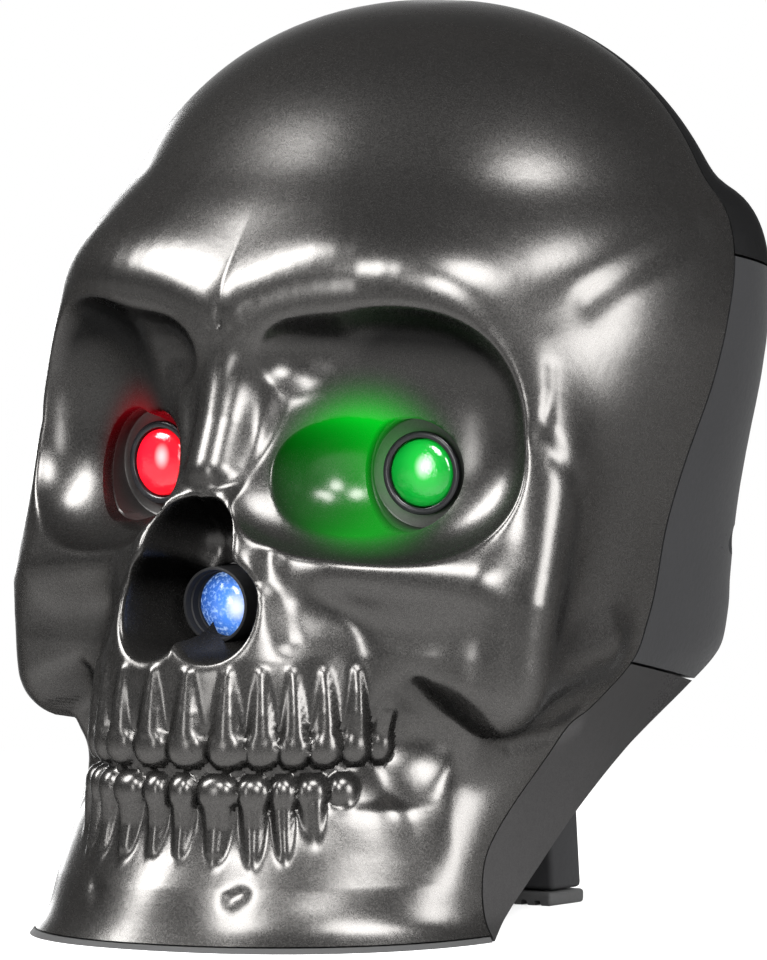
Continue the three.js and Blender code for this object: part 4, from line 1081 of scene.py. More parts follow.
@dataclass(frozen=True)
class LitLens(Coat):
    """A coloured lens lit from behind: a white heart that falls off into the colour."""

    colour: Point
    rim: Point
    at: Point
    radius: float
    power: float = 1.0
    speckle: float = 0
    spread: float = 3.2
    oval: Point = (1.35, 1, 1)
    ripple_scale: float = 1500
    speckle_colour: Point = (0.55, 0.75, 1.0)

    def build(self, s: Shader) -> bpy.types.Material:
        """Builds the lens.

        Args:
            s: The empty tree.

        Returns:
            The material.
        """
        ripple = s.noise(self.ripple_scale, 4)
        grain = s.node("ShaderNodeMapRange", {}, {"Value": ripple, "From Min": 0.5, "From Max": 0.72})
        body = s.mix(s.near(self.at, self.radius * self.spread, self.oval), self.rim, self.colour)
        body = s.mix(grain * self.speckle, body, self.speckle_colour)
        glow = s.mix(s.near(self.at, self.radius, self.oval) ** 0.8, body, (1, 1, 1))
        wave = s.bump(ripple, 0.25, 0.0002)
        lit = {"emission_color": glow, "emission_strength": self.power}
        return s.finish(base_color=self.rim, roughness=0.12, normal=wave, **lit)


@dataclass(frozen=True)
class BoardResin(Coat):
    """Green solder mask with copper tracks under it."""

    def build(self, s: Shader) -> bpy.types.Material:
        """Builds the board.

        Args:
            s: The empty tree.

        Returns:
            The material.
        """
        track = s.node("ShaderNodeTexBrick", {"offset": 0.5}, {
            "Vector": s.place(), "Scale": 260.0, "Color1": (0.02, 0.13, 0.05), "Color2": (0.02, 0.11, 0.045),
            "Mortar": (0.06, 0.24, 0.1), "Mortar Size": 0.03})
        return s.finish(base_color=track, roughness=0.35)


@dataclass(frozen=True)
class ClearOptic(Coat):
    """Clear moulded optic."""

    def build(self, s: Shader) -> bpy.types.Material:
        """Builds the optic.

        Args:
            s: The empty tree.

        Returns:
            The material.
        """
        wave = s.bump(s.noise(500, 1), 0.3, 0.0004)
        return s.finish(
            base_color=(0.9, 0.95, 0.97), roughness=0.08, transmission_weight=0.85, ior=1.49, normal=wave,
        )


FACE = FlakePaint("face_paint_finish", (0.045, 0.0435, 0.042), painted_glows=PAINTED_GLOWS)
WELL = FlakePaint("well_paint_finish", (0.036, 0.035, 0.034), 0.7, 0.36, painted_glows=PAINTED_GLOWS)
DARK = FlakePaint("dark_paint_finish", (0.02, 0.02, 0.0205), 0.95, 0.42, 0.0, 0.2)
NECK = FlakePaint("neck_paint_finish", (0.042, 0.041, 0.041), 0.9, 0.4)
BLACK = MouldedPlastic("black_plastic_finish", (0.008, 0.008, 0.0085), 0.55, sheen=0.1)
GLOSS = MouldedPlastic("gloss_plastic_finish", (0.008, 0.008, 0.009), 0.22, 500, 0.05)
RUBBER = MouldedPlastic("soft_rubber_finish", (0.018, 0.018, 0.018), 0.75, 600, 0.4)
STEEL = TurnedMetal("screw_steel_finish", (0.62, 0.61, 0.58))
COAT_BY_SLOT = {
    "face_paint": WELL, "dark_paint": DARK, "black_plastic": BLACK, "chip_black": BLACK,
    "soft_rubber": RUBBER, "screw_steel": STEEL, "motor_steel": STEEL, "inlet_metal": STEEL,
    "clear_optic": ClearOptic("clear_optic_finish"), "circuit_board": BoardResin("circuit_board_finish"),
    "hub_plastic": MouldedPlastic("hub_plastic_finish", (0.62, 0.6, 0.53), 0.4, 700, 0.1),
    "sink_aluminium": TurnedMetal("sink_aluminium_finish", (0.75, 0.75, 0.76), 0.4),
    "capacitor_sleeve": MouldedPlastic("capacitor_sleeve_finish", (0.03, 0.05, 0.17), 0.3, 300, 0.05),
}


def dress(piece: Piece, body: Body | str, slot: str, coat: Coat, *stands_for: str) -> None:
    """Smooths a piece, gives it its finish and body, and hides the nodes of the frame that it replaces.

    Args:
        piece: The piece.
        body: The frame's body that it rides on.
        slot: The record's material slot; not used.
        coat: The finish.
        stands_for: The nodes of the frame that it replaces.
    """
    smooth(piece)
    piece.data.materials.clear()
    piece.data.materials.append(coat.made())
    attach(piece, body.value if isinstance(body, Body) else body)
    if stands_for:
        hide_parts(*stands_for)
    LOG.info("%s: %d faces", piece.name, len(piece.data.polygons))


# Shells

WALL = 2.4
SEAM_GAP = 0.5
FIT = 0.3
FAR = HEIGHT + DEPTH
SHELL_BASE = 1.3
BACK = Vector((0, 1, 0))
ACROSS = Vector((1, 0, 0))
EYE_AT = (28.7, -10.5, 85.34)
EYE_CANT = math.radians(8)
NOSE_AT = (0.0, -30.96, 61.54)
PIN_AT = (58.03, 38.93)
BUTTON_X = {"power": -15, "colour": 0, "speed": 15}
BUTTON_Z = 102.84
BUTTON_FACE = 84.96
INLET_Z = 74.78


def eye_axis(side: int, inwards: float = 0) -> tuple[Point, Vector]:
    """A point on one eye's axis, and the unit way into the head.

    Args:
        side: 1 for the skull's left eye, -1 for its right eye.
        inwards: How far in the point lies from the eye's own zero.

    Returns:
        The point and the way.
    """
    way = Vector((-side * math.sin(EYE_CANT), math.cos(EYE_CANT), 0))
    at = (side * EYE_AT[0], *EYE_AT[1:])
    return (tuple(Vector(at) + way * inwards) if inwards else at), way


@dataclass(frozen=True)
class Arch:
    """One row of teeth: where their edges stand, from the middle outwards, and their heights."""

    edges: tuple[Pair, ...]
    low: float
    high: float
    root_end: float
    thickness: float = 3
    proud: float = 0.7
    most_out: float = 0.9
    inside: float = 8
    fullness: float = 2.3
    tooth_blend: float = 0.45
    root_blend: float = 1.3
    root_start_share: float = 0.4
    root_width_shares: tuple[float, ...] = (0.8, 0.66, 0.5, 0.3)
    root_sink_share: float = 0.75

    def onto(self, form: HeadForm, at: Array, way: Array, z: float) -> Array:
        """Finds the head's surface outwards from a point of the arch.

        Args:
            form: The head without teeth.
            at: The point of the arch, seen from above.
            way: The unit way outwards.
            z: The height.

        Returns:
            The surface's place, seen from above.
        """
        start = np.array([[*(at - self.inside * way), z]])
        found = form.leave(start, np.array([[*way, 0]]), form.closed, 0)[0, :2]
        return at + way * min(float((found - at) @ way), self.most_out)

    def grow(self, form: HeadForm) -> tuple[list[Hollow], list[Ridge]]:
        """Places the teeth and their roots on the head.

        Args:
            form: The head without teeth.

        Returns:
            The teeth and the root ridges of the left half.
        """
        teeth, roots = [], []
        for (x0, y0), (x1, y1) in zip(self.edges, self.edges[1:]):
            turn = math.atan2(y1 - y0, x1 - x0)
            way = np.array((math.sin(turn), -math.cos(turn)))
            middle = np.array(((x0 + x1) / 2, (y0 + y1) / 2))
            half = math.hypot(x1 - x0, y1 - y0) / 2
            z = (self.low + self.high) / 2
            crown = self.onto(form, middle, way, z) + way * (self.proud - self.thickness)
            radii = (half, self.thickness, (self.high - self.low) / 2)
            teeth.append(Hollow((*crown, z), radii, turn, self.fullness, self.tooth_blend))
            gum = self.high if self.root_end > self.high else self.low
            widths = half * np.array(self.root_width_shares)
            heights = np.linspace(gum + (z - gum) * self.root_start_share, self.root_end, len(widths))
            knots = []
            for h, r in zip(heights, widths):
                knots.append((*(self.onto(form, middle, way, h) - way * (r * self.root_sink_share)), h, r))
            roots.append(Ridge(tuple(knots), self.root_blend))
        return teeth, roots


UPPER_ARCH = Arch(
    ((0, -52.2), (8, -51.2), (15.5, -49.5), (21, -45.6), (25, -40.5), (27.8, -34), (29.8, -27.4),
     (31, -21.4)),
    32.5, 40.6, 50,
)
LOWER_ARCH = Arch(
    ((0, -51.2), (5.7, -50.8), (13.6, -49.2), (19, -46), (22.8, -42.4), (25.8, -36.5), (27.8, -29.9)),
    24.6, 31.9, 13.5,
)


@dataclass
class SkullShells(Maker):
    """The face, crown, rear cover and neck shells, and the base mat."""

    form: HeadForm
    limits: tuple[Vector, Vector]
    fine: bool = True
    fine_grid: Point = (130, 84, 1)
    quick_grid: Point = (78, 44, 1.7)
    inner_grid: Point = (56, 36, 2.2)
    row_bands: tuple[Point, ...] = ((0, 10, 1), (10, 112, 0.55), (112, 165, 1.2))
    crown_rows_fine: int = 16
    crown_root_share: float = 0.88
    foot_share: float = -0.2
    inner_drop: float = 4
    seam_top_share: float = 0.97
    seam_points: int = 120
    cover_top: float = 0.729
    cover_foot: float = 0.29
    split_slope: float = 0.18
    cover_screws: tuple[Pair, ...] = ((49.6, 69.7), (49.6, 108.8))
    crown_screws: tuple[Pair, ...] = ((44.02, 133.96),)
    screw_depth: float = 3.5
    screw_reach: float = 13
    shank_bore: float = 1.6
    head_bore: float = 2.8
    column_radius: float = 4
    ear_radius: float = 4.2
    ear_root: float = 6.3
    ear_height: float = 12
    ear_half: float = 1.5
    ear_x: float = 16.8
    eye_bore: float = 10.5
    eye_bore_start: float = 1.2
    eye_bore_length: float = 60
    barrel_bore: float = 7.3
    barrel_bore_ahead: float = 5
    barrel_bore_end: float = -9
    # Depth under the closed head at which the painted shade is full.
    painted_shade_depth: float = 3.5
    mat_height: float = 1
    button_bore: float = 4.8
    button_bore_start: float = 72.8
    vent: Point = (26, 36, 2.2)
    vent_z: float = 91.8
    vent_step: float = 5
    inlet_hole: Point = (11.6, 36, 8.6)
    pin_bore: float = 1.8
    pin_bore_length: float = 60

    def shares(self, stretch: float) -> Array:
        """Heights of the grid's rows from the crown down, as shares."""
        bands = [np.arange(low, high, step * stretch) for low, high, step in self.row_bands]
        return np.concatenate(bands)[::-1] / HEIGHT

    def solid(self, name: str, level: float, half: int, rear: int, stretch: float) -> Piece:
        """Closed head at a level, on a sphere's grid.

        Args:
            name: The object's name.
            level: Depth below the surface, zero or negative.
            half: Columns across each half of the face.
            rear: Columns round the rear.
            stretch: How much coarser the rows are.

        Returns:
            The closed object.
        """
        read = self.form.depth if level else self.form.detailed
        shares = self.shares(stretch)
        ahead = (np.linspace(-1, 1, 2 * half + 1) + 1) / 4
        turns = np.concatenate((ahead, 0.5 + 0.5 * np.arange(1, rear) / rear))
        row_share, row_turn = np.meshgrid(shares, turns, indexing="ij")
        start, way = self.form.rays(row_share.ravel(), row_turn.ravel())
        points = self.form.leave(start, way, read, level, last=not level)
        rows = self.form.sink(points, -level)
        rows = (rows if level else self.form.settle(rows)).reshape(len(shares), len(turns), 3)
        crown = self.crown_rows(rows[0], read, level, round(self.crown_rows_fine / stretch))
        foot = np.full((1, len(turns), 3), (0, self.foot_share * DEPTH, 0.0))
        grid = np.concatenate((crown, rows, foot))
        if level:
            grid[-2:, :, 2] -= self.inner_drop
        low, high = (np.array(corner) / MM - (0, FRAME_SHIFT, 0) for corner in self.limits)
        grid = np.clip(grid, low - self.inner_drop if level else low, high)
        bm = bmesh.new()
        bmesh.ops.create_uvsphere(bm, u_segments=len(turns), v_segments=len(grid) - 1, radius=1)
        for vert in bm.verts:
            row = round(math.acos(max(-1, min(1, vert.co.z))) / math.pi * (len(grid) - 1))
            column = round(math.atan2(vert.co.y, vert.co.x) / (2 * math.pi) * len(turns)) % len(turns)
            vert.co = grid[row, column]
        return self.keep(bm, name)

    def crown_rows(self, first: Array, read: Field, level: float, count: int) -> Array:
        """Rows that close the crown, from its pole to the first read row.

        Args:
            first: The first read row.
            read: The field.
            level: Depth, zero or negative.
            count: Rows between the pole and the first read row.

        Returns:
            The rows, with the pole first.
        """
        seam = SEAM.line(1) * DEPTH
        root = np.tile((0, seam, self.crown_root_share * HEIGHT), (len(first), 1))
        pole = self.form.leave(root[:1], np.array([[0, 0, 1.0]]), read, level)
        rows = [np.repeat(pole, len(first), axis=0)]
        for i in range(1, count + 1):
            way = pole + (first - pole) * i / (count + 1) - root
            rows.append(self.form.leave(root, way / np.linalg.norm(way, axis=1)[:, None], read, level))
        return np.stack(rows)

    def seam_side(self, offset: float, side: int) -> Form:
        """Everything in front of the seam, or behind it.

        Args:
            offset: How far behind the seam the face lies.
            side: 1 for what is behind, -1 for what is in front.

        Returns:
            The closed bmesh.
        """
        shares = np.linspace(0, self.seam_top_share, self.seam_points)
        line = [(float(y) * DEPTH + offset, float(s) * HEIGHT) for s, y in zip(shares, SEAM.at(shares)[0])]
        line = [(line[0][0], -FAR), *line, (line[-1][0], FAR)]
        return self.prism([*line, (side * FAR, FAR), (side * FAR, -FAR)], FAR)

    def split_side(self, share: float, offset: float, side: int) -> Form:
        """Everything above a sloping split, or below it.

        Args:
            share: Height of the split at the seam, as a share.
            offset: How far above the split the face lies.
            side: 1 for what is above, -1 for what is below.

        Returns:
            The closed bmesh.
        """
        seam = SEAM.line(share) * DEPTH

        def at(y: float) -> float:
            """Height of the split at a depth."""
            return share * HEIGHT - self.split_slope * (y - seam) + offset

        end = side * 2 * FAR
        return self.prism([(-FAR, at(-FAR)), (FAR, at(FAR)), (FAR, end), (-FAR, end)], FAR)

    def above_underside(self, offset: float, base: float) -> Form:
        """Everything above the sloping underside behind the jaw."""
        curve = [(y * DEPTH, z * HEIGHT + offset) for z, y in UNDERSIDE]
        return self.prism([(-FAR, base), (curve[0][0], base), *curve, (FAR, FAR), (-FAR, FAR)], FAR)

    def rod_y(self, radius: float, y0: float, y1: float, x: float, z: float, segments: int = 48) -> Form:
        """A rod along Y."""
        return self.rod(radius, y1 - y0, (x, y0, z), BACK, segments)

    def screw_places(self, places: Iterable[Pair]) -> list[Point]:
        """Width, height and seam depth of each shell screw, both sides."""
        return [(side * x, z, SEAM.line(z / HEIGHT) * DEPTH) for x, z in places for side in (-1, 1)]

    def bores(self, places: Iterable[Pair]) -> Cuts:
        """Cuts for the shell screws.

        Args:
            places: Width and height of each pair of screws.

        Returns:
            The cuts.
        """
        cuts = []
        for x, z, seam in self.screw_places(places):
            seat = seam + self.screw_depth
            cuts.append((Cut.MINUS, self.rod_y(self.shank_bore, seat - self.screw_reach, seat + FIT, x, z)))
            cuts.append((Cut.MINUS, self.rod_y(self.head_bore, seat - FIT, FAR, x, z)))
        return cuts

    def columns(self, places: Iterable[Pair]) -> list[Piece]:
        """Screw columns behind the seam, trimmed to the head.

        Args:
            places: Width and height of each pair of screws.

        Returns:
            The columns.
        """
        made = []
        for x, z, seam in self.screw_places(places):
            column = self.keep(self.rod_y(self.column_radius, seam + SEAM_GAP, DEPTH, x, z), "column")
            self.apply(column, Cut.AND, self.head)
            made.append(column)
        return made

    def part(self, name: str, tools: Cuts, added: Sequence[Piece] = (), last: Cuts = ()) -> Piece:
        """Cuts one shell out of the skin, adds to it, and cuts it again.

        Args:
            name: The shell's name.
            tools: Cuts that bound it.
            added: Solids joined to it, used up.
            last: Cuts made after that.

        Returns:
            The shell.
        """
        piece = self.copy(self.skin, name)
        self.cut(piece, tools)
        for one in added:
            self.apply(piece, Cut.PLUS, one)
            self.drop(one)
        self.cut(piece, last)
        return piece

    def ear(self, side: int) -> Piece:
        """One ear that carries the leg's pin, trimmed to the head.

        Args:
            side: 1 for the skull's left, -1 for its right.

        Returns:
            The ear.
        """
        y, z = PIN_AT
        r, root = self.ear_radius, self.ear_root
        arc = [(y - r * math.cos(math.pi * i / 16), z - r * math.sin(math.pi * i / 16)) for i in range(17)]
        outline = [*arc, (y + root, z + self.ear_height), (y - root, z + self.ear_height)]
        tab = self.keep(self.prism(outline, self.ear_half, side * self.ear_x), "ear")
        self.apply(tab, Cut.AND, self.head)
        return tab

    def build(self) -> None:
        """Makes every shell and dresses it."""
        self.head = self.solid("head_form", 0, *(self.fine_grid if self.fine else self.quick_grid))
        self.hollow = self.solid("hollow_form", -WALL, *self.inner_grid)
        self.cut(self.hollow, [(Cut.AND, self.above_underside(WALL, -FAR))])
        self.skin = self.copy(self.head, "skin_form")
        self.cut(self.skin, [(Cut.AND, self.above_underside(0, SHELL_BASE))])
        self.apply(self.skin, Cut.MINUS, self.hollow)
        self.face()
        self.rear()
        mat = self.copy(self.head, "base_mat_skin")
        slab = self.box((2 * FAR, 2 * FAR, self.mat_height), (0, 0, self.mat_height / 2))
        self.cut(mat, [(Cut.AND, self.seam_side(-SEAM_GAP, -1)), (Cut.AND, slab)])
        dress(mat, Body.HOUSING, "soft_rubber", RUBBER, "base_mat")
        self.drop(self.head)
        self.drop(self.skin)

    def face(self) -> None:
        """The face shell, bored for the eyes and the barrel."""
        tools = [(Cut.AND, self.seam_side(-SEAM_GAP / 2, -1))]
        for side in (-1, 1):
            at, way = eye_axis(side, self.eye_bore_start)
            tools.append((Cut.MINUS, self.rod(self.eye_bore, self.eye_bore_length, at, -way, 128)))
        front = NOSE_AT[1] - self.barrel_bore_ahead
        barrel = self.rod_y(self.barrel_bore, front, self.barrel_bore_end, 0, NOSE_AT[2], 96)
        tools.append((Cut.MINUS, barrel))
        piece = self.part("face_shell_skin", tools)
        dress(piece, Body.HOUSING, "face_paint", FACE, "face_shell")
        self.painted_shade(piece)

    def painted_shade(self, piece: Piece) -> None:
        """Marks the points that lie deep under a brow and face down, for the shade painted into the paint's
        colour.

        Args:
            piece: The face shell, already smoothed.
        """
        mesh = piece.data
        spots, facing = np.empty(3 * len(mesh.vertices)), np.empty(3 * len(mesh.vertices))
        mesh.vertices.foreach_get("co", spots)
        mesh.vertices.foreach_get("normal", facing)
        depth = -self.form.closed(spots.reshape(-1, 3) / MM - (0, FRAME_SHIFT, 0))
        shade = np.clip(depth / self.painted_shade_depth, 0, 1) * np.clip(-2 * facing[2::3], 0, 1)
        mesh.attributes.new("painted_shade", "FLOAT", "POINT").data.foreach_set("value", shade)

    def rear(self) -> None:
        """The crown shell, rear cover and neck shell."""
        crown = self.behind("crown_shell_skin", [(self.cover_top, 1)], self.crown_screws)
        dress(crown, Body.HOUSING, "dark_paint", DARK, "crown_shell")
        cover = self.behind(
            "rear_cover_skin", [(self.cover_top, -1), (self.cover_foot, 1)], self.cover_screws,
            [self.ear(-1), self.ear(1)], self.panel_holes(),
        )
        dress(cover, Body.HOUSING, "black_plastic", BLACK, "rear_cover")
        neck = self.behind("neck_shell_skin", [(self.cover_foot, -1)])
        dress(neck, Body.HOUSING, "dark_paint", NECK, "neck_shell")

    def behind(
        self, name: str, splits: list[tuple[float, int]], screws: Iterable[Pair] = (),
        added: Sequence[Piece] = (), holes: Cuts = (),
    ) -> Piece:
        """Makes one shell behind the seam.

        Args:
            name: The shell's name.
            splits: Share and side of each sloping split that bounds it.
            screws: Places of its screws.
            added: Solids joined to it.
            holes: Its other cuts.

        Returns:
            The shell.
        """
        tools = [(Cut.AND, self.seam_side(SEAM_GAP / 2, 1))]
        tools += [(Cut.AND, self.split_side(share, side * SEAM_GAP / 2, side)) for share, side in splits]
        return self.part(name, tools, [*self.columns(screws), *added], [*self.bores(screws), *holes])

    def panel_holes(self) -> Cuts:
        """Cuts for the buttons, the vents, the power inlet and the leg's pin.

        Returns:
            The cuts.
        """
        start = self.button_bore_start
        bores = [self.rod_y(self.button_bore, start, FAR, x, BUTTON_Z, 64) for x in BUTTON_X.values()]
        for i in (-1.5, -0.5, 0.5):
            bores.append(self.box(self.vent, (0, BUTTON_FACE, self.vent_z + i * self.vent_step), 1.05, 4))
        bores.append(self.box(self.inlet_hole, (0, BUTTON_FACE, INLET_Z), 1.2, 4))
        pin_start = (-self.pin_bore_length / 2, *PIN_AT)
        bores.append(self.rod(self.pin_bore, self.pin_bore_length, pin_start, ACROSS))
        return [(Cut.MINUS, bore) for bore in bores]


# Lamps, projector, rear panel and stand

CUP = (
    (6.75, 1.5), (9.7, 1.5), (10.05, 1.35), (10.2, 1), (10.2, -31), (11.7, -31), (11.7, 8.7), (10.2, 8.7),
    (10.2, 3.1), (6.75, 3.1),
)
RING = ((6.45, 0.3), (6.5, 0.1), (6.7, 0), (7.4, 0), (7.62, 0.1), (7.7, 0.3), (7.7, 1.2), (6.45, 1.2))
BARREL = (
    (6.35, -4.3), (6.45, -4.5), (6.8, -4.5), (6.95, -4.4), (7, -4.2), (7, 22), (5.9, 22), (5.9, -0.6),
    (6.1, -0.8), (6.1, -2.6), (6.35, -2.8),
)
BUTTON = (
    (0, 0.25), (2.6, 0.1), (3.6, 0), (4.1, 0.1), (4.4, 0.35), (4.5, 0.8), (4.5, 5), (5.8, 5), (5.9, 5.1),
    (5.9, 6.3), (5.8, 6.4), (1.5, 6.4), (1.5, 8.6), (1.4, 8.7), (0, 8.7),
)
SCREW = (
    (0, 10), (0.5, 10), (1.3, 9), (1.3, 0), (2.3, 0), (2.45, -0.15), (2.5, -0.5), (2.4, -1.2), (2, -1.75),
    (1.2, -1.98), (0, -2),
)


def dome(radius: float, front: float, rise: float, back: float, steps: int = 20) -> list[Pair]:
    """Profile of a lens: a dome that rises towards the front, and a flat back.

    Args:
        radius: The lens's radius.
        front: Height of the dome's tip.
        rise: How high the dome stands.
        back: Height of the flat back.
        steps: Stretches of the arc.

    Returns:
        Radius and height of each point.
    """
    turns = [i / steps * math.pi / 2 for i in range(steps + 1)]
    arc = [(radius * math.sin(t), front + rise * (1 - math.cos(t))) for t in turns]
    return [*arc, (radius, back), (0, back)]


def heart(at: Point, off: Point) -> Point:
    """The lit spot of a lens, off the lens's own zero, in the frame's metres."""
    return ((at[0] + off[0]) * MM, (at[1] + FRAME_SHIFT + off[1]) * MM, (at[2] + off[2]) * MM)


@dataclass
class EyeLamp(Maker):
    """A painted cup, a black ring and a lit lens, turned a little outwards."""

    side: int
    name: str
    slot: str
    glow: Point
    rim: Point
    dome_sizes: tuple[float, ...] = (6.15, -0.9, 1.5, 3.1)
    heart_off: Point = (1, -0.9, 1.2)
    heart_radius: float = 0.0027
    power: float = 0.85

    def build(self, hollow: Piece) -> None:
        """Makes the lamp's visible pieces.

        Args:
            hollow: The space inside the shell, which the cup is trimmed to.
        """
        at, way = eye_axis(self.side)
        cup = self.keep(self.spun(CUP, at, way, 144), f"eye_cup_{self.name}_turned")
        self.apply(cup, Cut.AND, hollow)
        dress(cup, Body.HOUSING, "face_paint", WELL, f"eye_cup_{self.name}")
        ring = self.keep(self.spun(RING, at, way), f"eye_bezel_{self.name}_turned")
        dress(ring, Body.HOUSING, "black_plastic", GLOSS, f"eye_bezel_{self.name}")
        lens = self.keep(self.spun(dome(*self.dome_sizes), at, way), f"eye_lens_{self.name}_turned")
        spot = heart(at, self.heart_off)
        coat = LitLens(f"{self.slot}_finish", self.glow, self.rim, spot, self.heart_radius, self.power)
        dress(lens, Body.HOUSING, self.slot, coat, f"eye_lens_{self.name}")


@dataclass
class NoseProjector(Maker):
    """The barrel with its lens, on the plate that carries the ripple drive."""

    screws: tuple[Pair, ...] = ((13.92, 71.04), (20.5, 52.04))
    posts: tuple[Pair, ...] = ((6.48, 74.46), (21.98, 41.78))
    post_steps: tuple[Point, ...] = ((2, -7.3, 9), (1, -7.2, 11.8))
    plate_size: Point = (48, 2, 38)
    plate_at: Point = (0, -8, 58.5)
    cup_bore: float = 12.3
    cup_bore_length: float = 60
    barrel_bore: float = 6.5
    screw_bore: float = 1.6
    bore_start: float = -11
    bore_length: float = 6
    dome_sizes: tuple[float, ...] = (6.05, -3, 3.8, 3.6)
    heart_off: Point = (3.2, -2, -0.3)
    heart_radius: float = 0.0032

    def build(self) -> None:
        """Makes the housing and the rippled lens."""
        barrel = self.keep(self.spun(BARREL, NOSE_AT, BACK, 128), "projector_housing_turned")
        plate = self.plate()
        self.apply(barrel, Cut.PLUS, plate)
        self.drop(plate)
        dress(barrel, Body.HOUSING, "black_plastic", BLACK, "projector_housing")
        lens = self.keep(self.spun(dome(*self.dome_sizes), NOSE_AT, BACK), "nose_lens_turned")
        spot = heart(NOSE_AT, self.heart_off)
        blue, rim = (0.1, 0.3, 0.9), (0.01, 0.04, 0.16)
        coat = LitLens("blue_lens_finish", blue, rim, spot, self.heart_radius, speckle=0.75)
        dress(lens, Body.HOUSING, "blue_lens", coat, "nose_lens")

    def plate(self) -> Piece:
        """The plate behind the barrel, bored for the eye cups and the screws, with its posts.

        Returns:
            The plate.
        """
        plate = self.keep(self.box(self.plate_size, self.plate_at, 0.6), "plate")
        tools = []
        for side in (-1, 1):
            at, way = eye_axis(side, -self.cup_bore_length / 2)
            tools.append((Cut.MINUS, self.rod(self.cup_bore, self.cup_bore_length, at, way, 96)))
        start, length = self.bore_start, self.bore_length
        tools.append((Cut.MINUS, self.rod(self.barrel_bore, length, (0, start, NOSE_AT[2]), BACK, 96)))
        for x, z in self.screws:
            for side in (1, -1):
                tools.append((Cut.MINUS, self.rod(self.screw_bore, length, (side * x, start, z), BACK)))
        for x, z in self.posts:
            for side in (1, -1):
                for radius, start, length in self.post_steps:
                    tools.append((Cut.PLUS, self.rod(radius, length, (side * x, start, z), BACK)))
        self.cut(plate, tools)
        return plate


@dataclass
class RearPanel(Maker):
    """Push buttons, the power inlet and the shell screws."""

    inlet_front: float = 72.81
    inlet_recess: float = 2.4
    inlet_width: float = 11
    inlet_height: float = 8
    slot_size: Point = (9.6, 5, 6.6)
    slot_in: float = 2.2
    tongue_size: Point = (6, 5, 1.4)
    tongue_in: float = 2.9
    cross_bars: tuple[Point, ...] = ((3, 2, 0.6), (0.6, 2, 3))
    cross_out: float = 1.9

    def build(self, shells: SkullShells) -> None:
        """Makes the rear pieces.

        Args:
            shells: The shells, for the screws' places.
        """
        for name, x in BUTTON_X.items():
            cap = self.keep(self.spun(BUTTON, (x, BUTTON_FACE, BUTTON_Z), -BACK), f"{name}_button_turned")
            dress(cap, f"{name}_key", "soft_rubber", RUBBER, f"{name}_button")
        for group, places in (("cover", shells.cover_screws), ("crown", shells.crown_screws)):
            for i, (x, z, seam) in enumerate(shells.screw_places(places), 1):
                self.screw(f"{group}_screw_{i}", (x, seam + shells.screw_depth + FIT, z))
        self.inlet()

    def screw(self, node: str, seat: Point) -> None:
        """A pan-head screw with a cross recess, seen from the rear.

        Args:
            node: The node that it stands for.
            seat: Where its head rests.
        """
        piece = self.keep(self.spun(SCREW, seat, -BACK, 48), f"{node}_turned")
        x, y, z = seat
        bars = [self.box(size, (x, y + self.cross_out, z), 0.1, 2) for size in self.cross_bars]
        self.cut(piece, [(Cut.MINUS, bar) for bar in bars])
        dress(piece, Body.HOUSING, "screw_steel", STEEL, node)

    def inlet(self) -> None:
        """The folded metal shell of the power inlet, with its tongue."""
        front, back = self.inlet_front, BUTTON_FACE - self.inlet_recess
        size = (self.inlet_width, back - front, self.inlet_height)
        shell = self.keep(self.box(size, (0, (front + back) / 2, INLET_Z), 1.1, 4), "power_inlet_shell")
        slot = self.box(self.slot_size, (0, back - self.slot_in, INLET_Z), 0.8, 4)
        tongue = self.box(self.tongue_size, (0, back - self.tongue_in, INLET_Z), 0.2, 2)
        self.cut(shell, [(Cut.MINUS, slot), (Cut.PLUS, tongue)])
        dress(shell, Body.HOUSING, "inlet_metal", STEEL, "power_inlet")


